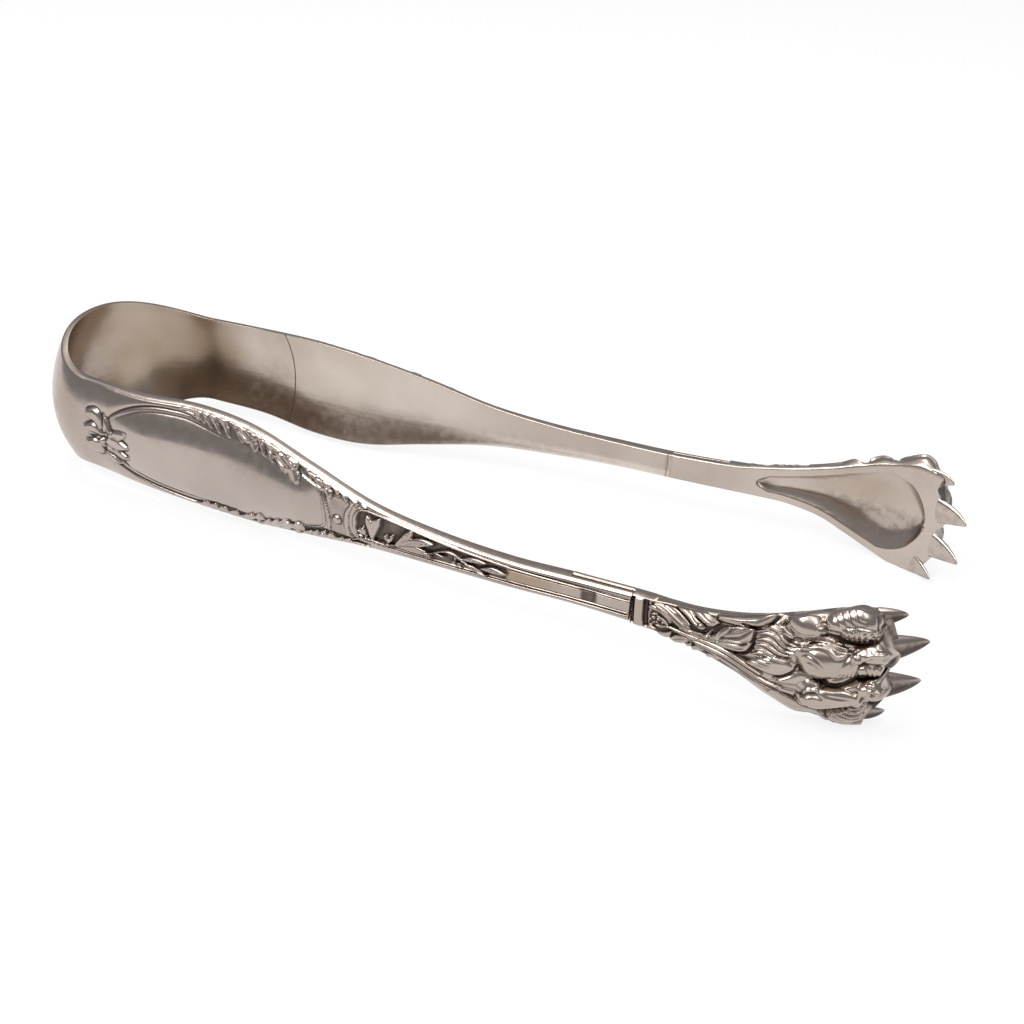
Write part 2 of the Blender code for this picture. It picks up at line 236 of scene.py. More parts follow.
def eased_columns(start: float, end: float, step: float) -> np.ndarray:
    """Column places with a very short first and last step, so shading carries across a joint.

    Args:
        start: The first place.
        end: The last place.
        step: The longest step between them.

    Returns:
        The places in order.
    """
    count = max(2, int(math.ceil((end - start) / step)))
    inner = np.linspace(start, end, count + 1)
    return np.concatenate([[start, start + EASE], inner[1:-1], [end - EASE, end]])


def strip_path(strip: Strip, along: np.ndarray) -> Path:
    """The path of an arm over these places.

    Args:
        strip: The strip's sizes.
        along: Places along the tongs.

    Returns:
        The columns at those places.
    """
    rise = (strip.size("spacing", along + 0.5) - strip.size("spacing", along - 0.5)) / 2
    out = np.stack([-rise, np.ones_like(rise)], -1)
    out /= np.linalg.norm(out, axis=1, keepdims=True)
    return Path(along, np.stack([along, strip.size("spacing", along) / 2], -1), out,
                strip.size("width", along) / 2, strip.size("camber", along),
                strip.size("lift", along), strip.size("wall", along))


def bow_path(bow: BowPlan, strip: Strip, seam: float) -> Path:
    """The path of half the bow, from the middle plane at the crown to the arm's joint.

    Args:
        bow: The bow's plan.
        strip: The sizes of the arm that the bow runs into.
        seam: Where the bow ends.

    Returns:
        The columns, with short steps at both ends.
    """
    turn = np.linspace(0, math.pi / 2, 73)
    power = 2 / bow.squareness
    forward = np.maximum(np.cos(turn), 0) ** power
    aside = np.maximum(np.sin(turn), 0) ** power
    out = np.stack([-forward ** (bow.squareness - 1) / bow.depth,
                    aside ** (bow.squareness - 1) / (bow.spacing / 2)], -1)
    out /= np.linalg.norm(out, axis=1, keepdims=True)
    spot = np.stack([bow.depth * (1 - forward), bow.spacing / 2 * aside], -1)
    share = np.maximum(1 - spot[:, 0] / bow.depth, 0) ** bow.taper

    def mixed(end: float, crown: float) -> np.ndarray:
        """A size that goes from the crown's to the arm's."""
        return end + (crown - end) * share

    arc = Path(spot[:, 0], spot, out, mixed(strip.width[0], bow.crown_width) / 2,
               mixed(strip.camber[0], bow.crown_camber), mixed(strip.lift[0], bow.crown_lift),
               np.full(len(turn), bow.wall))
    rest = strip_path(strip, eased_columns(bow.depth, seam, 0.2)[2:])
    names = ("along", "spot", "out", "half", "camber", "lift", "wall")
    joined = Path(*(np.concatenate([getattr(arc, name), getattr(rest, name)]) for name in names))
    for _ in range(24):
        for values in (joined.spot, joined.out):
            middle = (values[0, 0] + values[1, 0]) / 2
            values[1:-3] = (values[:-4] + 2 * values[1:-3] + values[2:-2]) / 4
            values[0, 0] = middle
    joined.out /= np.linalg.norm(joined.out, axis=1, keepdims=True)
    eased = Path(*(np.insert(values, 1, values[0] + EASE * (values[1] - values[0]), axis=0)
                   for values in (getattr(joined, name) for name in names)))
    eased.spot[1, 0] = eased.spot[0, 0] + EASE ** 2 * (eased.spot[2, 0] - eased.spot[0, 0])
    return eased


@dataclass(frozen=True)
class Stroke:
    """One leaf, ridge, groove or bead of the relief, drawn along a smooth line.

    The line runs through its points. Width, height and the rest are in millimetres; swell is
    where along it the stroke is widest, and the two ends are shares of that width. Cut is how
    deep the tool went beside it, edge how dark that line has become and spread how wide it is.
    Lean lifts a leaf's left edge, seen from its base, and lowers its right one.
    """
    points: Points
    width: float
    height: float
    kind: Kind = Kind.LEAF
    swell: float = 0.45
    start: float = 0.3
    end: float = 0.0
    rib: float = 0.0
    lines: int = 0
    cut: float = 0.08
    edge: float = 0.7
    spread: float = 0.11
    lean: float = 0.0

    def line(self, count: int = 22) -> np.ndarray:
        """Points along the stroke's smooth middle line.

        Args:
            count: How many points there are.

        Returns:
            Along and up of each point; a bead's line is two points that almost meet.
        """
        spots = np.array(self.points, float)
        if len(spots) == 1:
            return np.repeat(spots, 2, 0) + np.array([[0, 0], [1e-4, 0]])
        steps = np.concatenate([[0], np.cumsum(np.hypot(*np.diff(spots, axis=0).T))])
        where = np.linspace(0, steps[-1], count)
        return np.stack([Curve(tuple(steps), tuple(spots[:, k])).at(where) for k in (0, 1)], -1)

    def half_width(self, t: np.ndarray) -> np.ndarray:
        """Half the width at each share of the stroke's length.

        Args:
            t: Shares of the stroke's length, from 0 to 1.

        Returns:
            Half the width at each of them.
        """
        if len(self.points) == 1:
            return np.full_like(t, self.width / 2)
        swell = min(max(self.swell, 0.02), 0.98)
        before = self.start + (1 - self.start) * np.sin(np.pi / 2 * np.clip(t / swell, 0, 1))
        after = np.clip((t - swell) / (1 - swell), 0, 1)
        tail = self.end + (1 - self.end) * np.cos(np.pi / 2 * after) ** 0.8
        return self.width / 2 * np.where(t < swell, before, tail) + 1e-4


class Relief:
    """A height field in millimetres over a surface, with a patina that gathers in its lows.

    Each kind of low is given by rounds of softening, the depth that counts as full, and its share.
    """
    LOWS = ((10, 0.12, 0.36), (90, 0.45, 0.24))

    def __init__(self, x: np.ndarray, y: np.ndarray) -> None:
        """Start a flat field.

        Args:
            x: Places along, columns by lines.
            y: Heights across, columns by lines.
        """
        self.x, self.y = x, y
        self.height = np.zeros_like(x)
        self.dark = np.zeros_like(x)
        self.brown = np.zeros_like(x)

    def draw(self, *strokes: Stroke) -> None:
        """Work strokes into the field.

        Args:
            strokes: What to draw; a later stroke lies over an earlier one.
        """
        for stroke in strokes:
            line = stroke.line()
            reach = stroke.width / 2 + 1.0
            low, high = line.min(0) - reach, line.max(0) + reach
            near = np.nonzero((self.x > low[0]) & (self.x < high[0])
                              & (self.y > low[1]) & (self.y < high[1]))
            if len(near[0]):
                self._work(stroke, line, near)

    def _work(self, stroke: Stroke, line: np.ndarray, near: tuple[np.ndarray, ...]) -> None:
        """Work one stroke into the part of the field it reaches.

        Args:
            stroke: What to draw.
            line: Points along its middle.
            near: Which points of the field it reaches.
        """
        spots = np.stack([self.x[near], self.y[near]], -1)
        run = np.diff(line, axis=0)
        square = np.maximum((run ** 2).sum(1), 1e-12)
        offset = spots[:, None, :] - line[None, :-1, :]
        share = np.clip((offset * run).sum(2) / square, 0, 1)
        gap = offset - share[..., None] * run
        distance = np.hypot(gap[..., 0], gap[..., 1])
        best = distance.argmin(1)
        rows = np.arange(len(best))
        t = (best + share[rows, best]) / len(run)
        aside = run[best, 0] * offset[rows, best, 1] - run[best, 1] * offset[rows, best, 0]
        away = distance[rows, best]
        half = stroke.half_width(t)
        s = np.clip(away / half, 0, 1)
        beyond = np.maximum(away - half, 0)
        inside = away < half
        height, dark = self.height[near], self.dark[near]
        dome = np.sqrt(np.maximum(1 - s * s, 0))
        ring = np.where(inside, 0, np.exp(-(beyond / stroke.spread) ** 2))
        if stroke.kind is Kind.GROOVE:
            fall = (1 - s * s) ** 1.5
            height = height - stroke.height * fall
            dark = np.maximum(dark, stroke.edge * fall ** 0.7)
        elif stroke.kind is Kind.VALLEY:
            fall = (1 - s * s) ** 2
            height = height - stroke.height * fall
            dark = np.maximum(dark, stroke.edge * fall ** 4)
        elif stroke.kind is Kind.PILLOW:
            soft = np.exp(-(beyond / 0.45) ** 2) * (beyond > 0)
            height = height + stroke.height * dome ** 1.5 - stroke.cut * soft
            dark = np.where(inside, dark * (1 - dome), dark)
        elif stroke.kind is Kind.STRAND:
            height = height + stroke.height * dome ** 1.2 - stroke.cut * ring
            dark = np.where(inside, dark * (1 - 0.8 * dome), np.maximum(dark, stroke.edge * ring))
        else:
            rise = stroke.height * dome ** 0.85
            dark = np.where(inside, 0, np.maximum(dark, stroke.edge * ring))
            if stroke.kind is Kind.LEAF:
                rise = stroke.height * (0.55 + 0.45 * t) * (0.2 + 0.8 * dome)
                rise = rise + stroke.lean * np.sign(aside) * s * dome ** 0.3
                mid = np.exp(-(away / (0.16 * half + 0.04)) ** 2)
                rise = rise - stroke.rib * mid
                dark = np.where(inside, 0.6 * mid * min(stroke.rib / 0.08, 1), dark)
                if stroke.lines:
                    phase = np.cos(np.pi * stroke.lines * np.sign(aside) * s + stroke.lines)
                    rise = rise + 0.06 * phase * dome
                    dark = np.where(inside, np.maximum(dark, 0.6 * (phase < -0.3) * dome), dark)
            height = np.where(inside, np.maximum(height * 0.35, 0) + rise, height)
            height = height - stroke.cut * ring
        self.height[near], self.dark[near] = height, dark

    @staticmethod
    def _softened(field: np.ndarray, rounds: int) -> np.ndarray:
        """A field averaged with its neighbours this many times.

        Args:
            field: Values, columns by lines.
            rounds: How many times.

        Returns:
            The softened copy.
        """
        soft = field.copy()
        for _ in range(rounds):
            for axis in (0, 1):
                h = np.moveaxis(soft, axis, 0)
                h[1:-1] = (h[:-2] + 2 * h[1:-1] + h[2:]) / 4
        return soft

    def darken(self, values: np.ndarray) -> None:
        """Let the field be at least this dark."""
        self.dark = np.maximum(self.dark, values)

    def settle(self) -> None:
        """Soften the whole field a little, as wear and polishing do."""
        self.height = self._softened(self.height, 1)

    def patina(self) -> np.ndarray:
        """Dark in the lows, bright on the highs, from 0 to 1.

        Returns:
            How dark each point of the field is.
        """
        total = 0.72 * self._softened(self.dark, 1)
        for rounds, depth, share in self.LOWS:
            low = (self._softened(self.height, rounds) - self.height) / depth
            total = total + share * np.clip(low, -0.7, 1)
        return np.clip(total, 0, 1)


@dataclass(frozen=True)
class Section:
    """Lines round a strip's section: outer face, rounded corners, edges and inner face."""
    outer_lines: int
    inner_lines: int
    corner: float = 0.50
    inner_corner: float = 0.22
    corner_lines: int = 4

    def layout(self) -> dict[str, np.ndarray]:
        """The section's lines.

        Returns:
            Arrays by line: share of the half width, its offset, share of the half wall, its
            offset, how far the relief reaches, and the outer line each one follows.
        """
        rows: list[tuple[float, float, float, float, float, int]] = []
        u = np.linspace(-1, 1, self.outer_lines)
        u = 0.7 * u + 0.3 * np.sin(u * np.pi / 2)
        for k, share in enumerate(u):
            rows.append((share, -share * self.corner, 1, 0, 1, k))
        angles = np.linspace(0, np.pi / 2, self.corner_lines + 1)
        last = self.outer_lines - 1
        for a in angles[1:]:
            rows.append((1, self.corner * (math.sin(a) - 1), 1, self.corner * (math.cos(a) - 1),
                         math.cos(a) ** 2, last))
        for a in angles[::-1]:
            rows.append((1, self.inner_corner * (math.sin(a) - 1), -1,
                         self.inner_corner * (1 - math.cos(a)), 0, last))
        for share in np.linspace(1, -1, self.inner_lines)[1:-1]:
            rows.append((share, -share * self.inner_corner, -1, 0, 0, last))
        for a in angles:
            rows.append((-1, self.inner_corner * (1 - math.sin(a)), -1,
                         self.inner_corner * (1 - math.cos(a)), 0, 0))
        for a in angles[:0:-1]:
            rows.append((-1, self.corner * (1 - math.sin(a)), 1, self.corner * (math.cos(a) - 1),
                         math.cos(a) ** 2, 0))
        table = np.array(rows)
        return {"share": table[:, 0], "inset": table[:, 1], "side": table[:, 2],
                "drop": table[:, 3], "reach": table[:, 4], "follows": table[:, 5].astype(int)}


def tube(name: str, points: np.ndarray, marks: dict[str, np.ndarray]) -> bpy.types.Object:
    """A closed body whose skin is a net of columns by lines, wrapped round and capped.

    Args:
        name: The piece's name.
        points: Columns by lines by three, in metres.
        marks: Values by name, columns by lines, which the finish reads.

    Returns:
        The piece.
    """
    columns, lines = points.shape[:2]
    body = bmesh.new()
    bmesh.ops.create_grid(body, x_segments=columns - 1, y_segments=lines, size=0.5)
    mesh = bpy.data.meshes.new(name)
    body.to_mesh(mesh)
    spots = np.empty(len(mesh.vertices) * 3, np.float32)
    mesh.vertices.foreach_get("co", spots)
    spots = spots.reshape(-1, 3)
    column = np.rint((spots[:, 0] + 0.5) * (columns - 1)).astype(int)
    line = np.rint((spots[:, 1] + 0.5) * lines).astype(int) % lines
    mesh.vertices.foreach_set("co", points[column, line].astype(np.float32).ravel())
    for mark, values in marks.items():
        layer = mesh.attributes.new(mark, "FLOAT", "POINT")
        layer.data.foreach_set("value", values[column, line].astype(np.float32))
    body.clear()
    body.from_mesh(mesh)
    bmesh.ops.remove_doubles(body, verts=body.verts[:], dist=1e-8)
    bmesh.ops.holes_fill(body, edges=[e for e in body.edges if e.is_boundary], sides=0)
    return to_piece(name, body, mesh)


def to_piece(name: str, body: bmesh.types.BMesh, mesh: bpy.types.Mesh) -> bpy.types.Object:
    """Finish a mesh under construction as a smooth piece with its faces outward.

    Args:
        name: The piece's name.
        body: What was built, which is freed.
        mesh: The mesh that it goes into.

    Returns:
        The piece, linked to the scene.
    """
    bmesh.ops.recalc_face_normals(body, faces=body.faces[:])
    if body.calc_volume(signed=True) < 0:
        bmesh.ops.reverse_faces(body, faces=body.faces[:])
    shade(body, mesh)
    piece = bpy.data.objects.new(name, mesh)
    bpy.context.collection.objects.link(piece)
    return piece


def shade(body: bmesh.types.BMesh, mesh: bpy.types.Mesh) -> None:
    """Write what was built into its mesh, smooth between its sharp edges.

    Args:
        body: What was built, which is freed.
        mesh: The mesh that it goes into.
    """
    body.to_mesh(mesh)
    body.free()
    mesh.shade_smooth()
    mesh.set_sharp_from_angle(angle=SHARP)


@dataclass
class NodeKit:
    """Short ways to add and join the nodes of one material or world."""
    tree: bpy.types.NodeTree

    def add(self, kind: str) -> bpy.types.Node:
        """A new node of that kind."""
        return self.tree.nodes.new(f"ShaderNode{kind}")

    def join(self, value: bpy.types.NodeSocket, slot: bpy.types.NodeSocket) -> None:
        """Lead a value into a slot."""
        self.tree.links.new(value, slot)

    def mark(self, name: str) -> bpy.types.NodeSocket:
        """A value that the piece's mesh carries.

        Args:
            name: The name of the mesh's attribute.

        Returns:
            The value's socket.
        """
        node = self.add("Attribute")
        node.attribute_name = name
        return node.outputs["Fac"]

    def noise(self, scale: float, detail: float,
              stretch: tuple[float, float, float] = (1.0, 1.0, 1.0)) -> bpy.types.NodeSocket:
        """A noise of that scale on Object coordinates, stretched along the axes.

        Args:
            scale: How fine it is.
            detail: How many finer layers it has.
            stretch: How much finer it is along each axis.

        Returns:
            The noise's socket.
        """
        node, mapping = self.add("TexNoise"), self.add("Mapping")
        node.inputs["Scale"].default_value = scale
        node.inputs["Detail"].default_value = detail
        mapping.inputs["Scale"].default_value = stretch
        self.join(self.add("TexCoord").outputs["Object"], mapping.inputs["Vector"])
        self.join(mapping.outputs["Vector"], node.inputs["Vector"])
        return node.outputs["Fac"]

    def spread(self, value: bpy.types.NodeSocket, low: float, high: float, to_low: float = 0.0,
               to_high: float = 1.0) -> bpy.types.NodeSocket:
        """The value moved smoothly from one range to another and clamped.

        Args:
            value: What is moved.
            low: Where the first range starts.
            high: Where it ends.
            to_low: What its start becomes.
            to_high: What its end becomes.

        Returns:
            The moved value's socket.
        """
        node = self.add("MapRange")
        node.interpolation_type = "SMOOTHSTEP"
        for slot, number in (("From Min", low), ("From Max", high),
                             ("To Min", to_low), ("To Max", to_high)):
            node.inputs[slot].default_value = number
        self.join(value, node.inputs["Value"])
        return node.outputs["Result"]

    def maths(self, operation: str, first: bpy.types.NodeSocket,
              second: bpy.types.NodeSocket | float) -> bpy.types.NodeSocket:
        """One sum of two values from 0 to 1, the second of which may be a number.

        Args:
            operation: Which sum it is.
            first: The first value.
            second: The second value, or a number.

        Returns:
            The result's socket.
        """
        node = self.add("Math")
        node.operation = operation
        node.use_clamp = True
        self.join(first, node.inputs[0])
        if isinstance(second, float):
            node.inputs[1].default_value = second
        else:
            self.join(second, node.inputs[1])
        return node.outputs[0]

    def mix(self, factor: bpy.types.NodeSocket, first: bpy.types.NodeSocket | tuple,
            second: tuple[float, float, float]) -> bpy.types.NodeSocket:
        """A colour, or what earlier mixes gave, mixed with another colour by a factor.

        Args:
            factor: 0 for the first colour to 1 for the second.
            first: A colour, or an earlier mix.
            second: The other colour.

        Returns:
            The mixed colour's socket.
        """
        node = self.add("Mix")
        node.data_type = "RGBA"
        self.join(factor, node.inputs["Factor"])
        under, over = (slot for slot in node.inputs if slot.type == "RGBA")
        if isinstance(first, tuple):
            under.default_value = (*first, 1)
        else:
            self.join(first, under)
        over.default_value = (*second, 1)
        return next(slot for slot in node.outputs if slot.type == "RGBA")


@dataclass(frozen=True)
class SilverFinish:
    """Old silver: polished highs, dark sulphide in the lows, brown tarnish in patches and a painted sheen
    where the inner faces are made lighter.
    """
    name: str
    polished: tuple[float, float, float] = (0.49, 0.42, 0.375)
    dulled: tuple[float, float, float] = (0.41, 0.345, 0.305)
    recess: tuple[float, float, float] = (0.070, 0.053, 0.044)
    tarnish: tuple[float, float, float] = (0.36, 0.27, 0.19)
    # The lighter colour of the painted sheen.
    painted_sheen: tuple[float, float, float] = (0.70, 0.62, 0.56)
    smooth_roughness: float = 0.17
    dull_roughness: float = 0.40
    grain: float = 0.07
    grain_depth: float = 0.0006
    soot: float = 0.08
    cloud_scale: float = 60.0
    fine_scale: float = 700.0
    pore_scale: float = 260.0
    hair_scale: tuple[float, float, float] = (90.0, 180.0, 1300.0)

    def build(self) -> bpy.types.Material:
        """The finish as a material on Object coordinates and the pieces' own marks.

        Returns:
            The material.
        """
        material = bpy.data.materials.new(self.name)
        material.use_nodes = True
        kit = NodeKit(material.node_tree)
        surface = material.node_tree.nodes["Principled BSDF"].inputs
        surface["Metallic"].default_value = 1.0
        cloud = kit.spread(kit.noise(self.cloud_scale, 2.0), 0.28, 0.72)
        fine = kit.spread(kit.noise(self.fine_scale, 3.0), 0.35, 0.65)
        soot = kit.maths("MULTIPLY", fine, self.soot)
        patina = kit.spread(kit.maths("ADD", kit.mark("patina"), soot), 0.10, 0.90)
        cast = kit.maths("ADD", kit.maths("MULTIPLY", cloud, 0.8), 0.3)
        brown = kit.maths("MULTIPLY", kit.mark("tarnish"), cast)
        clean = kit.mix(kit.mark("painted_sheen"), kit.mix(cloud, self.polished, self.dulled), self.painted_sheen)
        base = kit.mix(brown, clean, self.tarnish)
        kit.join(kit.mix(patina, base, self.recess), surface["Base Color"])
        wear = kit.maths("ADD", kit.maths("MULTIPLY", fine, 0.25),
                         kit.maths("MULTIPLY", cloud, 0.30))
        stained = kit.maths("MAXIMUM", wear, kit.maths("MULTIPLY", brown, 0.6))
        kit.join(kit.spread(kit.maths("MAXIMUM", patina, stained), 0, 1, self.smooth_roughness,
                            self.dull_roughness), surface["Roughness"])
        hair = kit.maths("MULTIPLY", kit.noise(1.0, 2.0, self.hair_scale), 0.25)
        pores = kit.maths("MULTIPLY", kit.noise(self.pore_scale, 2.0), 0.6)
        bump = kit.add("Bump")
        bump.inputs["Strength"].default_value = self.grain
        bump.inputs["Distance"].default_value = self.grain_depth
        kit.join(kit.maths("ADD", hair, pores), bump.inputs["Height"])
        kit.join(bump.outputs["Normal"], surface["Normal"])
        return material


def groove(points: Points, width: float, deep: float, **more: float) -> Stroke:
    """A groove with dark sides."""
    return Stroke(points, width, deep, Kind.GROOVE, **more)


def bead(x: float, y: float, width: float, height: float, **more: float) -> Stroke:
    """A round bead, berry or jewel."""
    return Stroke(((x, y),), width, height, Kind.BEAD, **more)


def locks(first: Points, last: Points, count: int, width: float, height: float,
          kind: Kind = Kind.STRAND, edge: float = 0.5) -> list[Stroke]:
    """Strands of a lock of fur, spread evenly between its first and last one.

    Args:
        first: Points along the first strand.
        last: Points along the last strand, as many.
        count: How many strands there are.
        width: Each strand's width.
        height: Each strand's height or depth.
        kind: What each strand is.
        edge: How dark the lines beside them are.

    Returns:
        The strands, to be drawn in this order.
    """
    start, stop = np.array(first, float), np.array(last, float)
    return [Stroke(tuple(map(tuple, start + (stop - start) * k / (count - 1))), width, height, kind,
                   swell=0.5, start=0.4, end=0.3, edge=edge) for k in range(count)]


def leaf(x0: float, y0: float, x1: float, y1: float, width: float, height: float, bow: float,
         rib: float, lean: float = 0.0) -> Stroke:
    """A laurel leaf from its base to its tip, bowed a little to one side.

    Args:
        x0: The base's place along.
        y0: The base's height.
        x1: The tip's place along.
        y1: The tip's height.
        width: Its greatest width.
        height: How high it stands.
        bow: How far it bows, as a share of its length.
        rib: How deep its middle line is.
        lean: How far its left edge is lifted.

    Returns:
        The leaf.
    """
    dx, dy = x1 - x0, y1 - y0
    middle = ((x0 + x1) / 2 - dy * bow, (y0 + y1) / 2 + dx * bow)
    return Stroke(((x0, y0), middle, (x1, y1)), width, height, rib=rib, swell=0.60, start=0.3,
                  lean=lean)


# The knot's lobes and petals: points, width, height, swell, start, end and rib.
KNOT_LOBES: tuple = (
    (((17.2, 1.6), (16.2, 3.2), (14.6, 3.4)), 2.3, 0.80, 0.6, 0.4, 0.6, 0.06),
    (((17.4, 0.4), (15.8, 1.0), (13.9, 0.7)), 1.7, 0.75, 0.6, 0.4, 0.5, 0.05),
    (((17.2, -1.6), (15.9, -2.4), (14.2, -2.2)), 2.9, 0.75, 0.55, 0.4, 0.5, 0.06),
    (((17.6, -3.0), (18.8, -3.8), (20.6, -4.2)), 1.5, 0.60, 0.5, 0.3, 0.3, 0.0),
    (((17.9, 4.0), (18.2, 2.6), (18.2, 1.2)), 0.9, 0.60, 0.5, 0.4, 0.6, 0.0),
    (((18.4, 3.4), (18.9, 1.9), (19.7, 0.9)), 1.0, 0.65, 0.4, 0.4, 0.5, 0.0),
    (((19.2, 0.3), (21.2, 1.1), (23.0, 2.1)), 1.9, 0.65, 0.35, 0.5, 0.0, 0.05),
    (((19.8, -2.1), (21.4, -2.4), (23.0, -2.5)), 1.6, 0.65, 0.4, 0.5, 0.0, 0.05),
    (((18.8, -0.7), (21.2, -0.5), (23.5, -0.3)), 2.1, 0.80, 0.35, 0.6, 0.0, 0.06),
)

# Grooves in and round the knot: points and width.
KNOT_CUTS: tuple = (
    (((13.8, -0.7), (15.4, -0.6), (16.9, 0.0)), 0.55),
    (((17.1, -1.7), (17.4, -2.7)), 0.9),
    (((22.0, 0.7), (23.3, 0.2)), 0.5),
    (((21.6, -1.6), (22.9, -1.9)), 0.5),
    (((21.0, -3.2), (22.0, -4.7)), 0.6),
)

# The running sprig: stems, leaves and buds in the order they are worked.
SPRIG: tuple[Stroke, ...] = (
    Stroke(((67.1, -2.8), (68.8, -2.0), (70.2, -1.6), (73.4, -1.5), (75.0, -1.0), (76.3, -0.9)),
        0.36, 0.34, Kind.RIDGE, start=0.8, end=0.5),
    Stroke(((69.5, -1.7), (69.7, -1.2), (69.4, -0.7)), 0.28, 0.30, Kind.RIDGE, start=0.8),
    Stroke(((69.4, -1.0), (68.9, -0.8), (68.4, -0.5)), 0.55, 0.42, swell=0.6, end=0.5),
    Stroke(((69.5, -0.9), (69.3, -0.4), (69.2, 0.2)), 0.62, 0.44, swell=0.6, end=0.3),
    leaf(70.7, -1.0, 69.8, 2.4, 1.2, 0.44, -0.05, 0.06),
    leaf(70.8, -1.3, 72.2, 2.5, 1.6, 0.46, 0.10, 0.07),
    Stroke(((73.1, -1.7), (73.7, -1.0), (74.0, -0.6)), 0.30, 0.32, Kind.RIDGE),
    Stroke(((73.9, -0.9), (73.5, -0.4), (73.3, 0.1)), 0.60, 0.44, swell=0.6, end=0.5),
    Stroke(((73.9, -0.9), (74.3, -0.2), (74.5, 0.5)), 0.62, 0.44, swell=0.6, end=0.4),
    leaf(75.1, -0.9, 77.9, 2.45, 1.45, 0.46, -0.06, 0.06),
    Stroke(((75.3, -1.0), (77.5, 0.2), (79.3, 0.9), (81.8, 1.45)), 1.45, 0.48, swell=0.55,
        start=0.2, rib=0.06),
    Stroke(((75.4, -1.1), (78.2, -0.6), (80.2, -0.5), (81.4, -0.9)), 1.15, 0.44, swell=0.6,
        start=0.2, rib=0.05),
    Stroke(((80.0, -0.4), (81.5, -0.1), (82.5, 0.5), (84.0, 1.0), (85.0, 0.95), (86.1, 0.55),
        (87.2, 0.0), (88.4, -0.45), (89.6, -0.8), (90.8, -0.9)), 0.36, 0.42, Kind.RIDGE,
        start=0.6, end=0.4),
    Stroke(((82.2, 0.2), (83.0, 0.05), (83.7, 0.0)), 0.30, 0.38, Kind.RIDGE, end=0.3),
    Stroke(((85.2, 0.7), (85.3, 0.1), (85.2, -0.4)), 0.26, 0.36, Kind.RIDGE),
    bead(85.2, -0.4, 0.55, 0.46),
    bead(86.1, -0.45, 0.62, 0.46),
    Stroke(((86.4, 0.5), (88.3, 0.85), (90.6, 1.05)), 0.75, 0.46, start=0.2, rib=0.05),
    Stroke(((87.0, 0.0), (88.6, -0.45), (90.7, -0.95)), 0.70, 0.44, start=0.2, rib=0.05),
    Stroke(((89.6, -0.1), (91.6, 0.15), (93.9, 0.15)), 0.95, 0.46, start=0.2, rib=0.06),
)

# Punched pits in the sprig's leaves.
SPRIG_PITS: Points = (
    (77.2, 1.6), (76.5, 1.0), (79.8, 0.95), (80.6, 1.15), (88.6, 0.85), (89.5, 0.95), (91.4, 0.2),
    (92.2, 0.15), (72.0, 0.8), (71.6, 0.1),
)


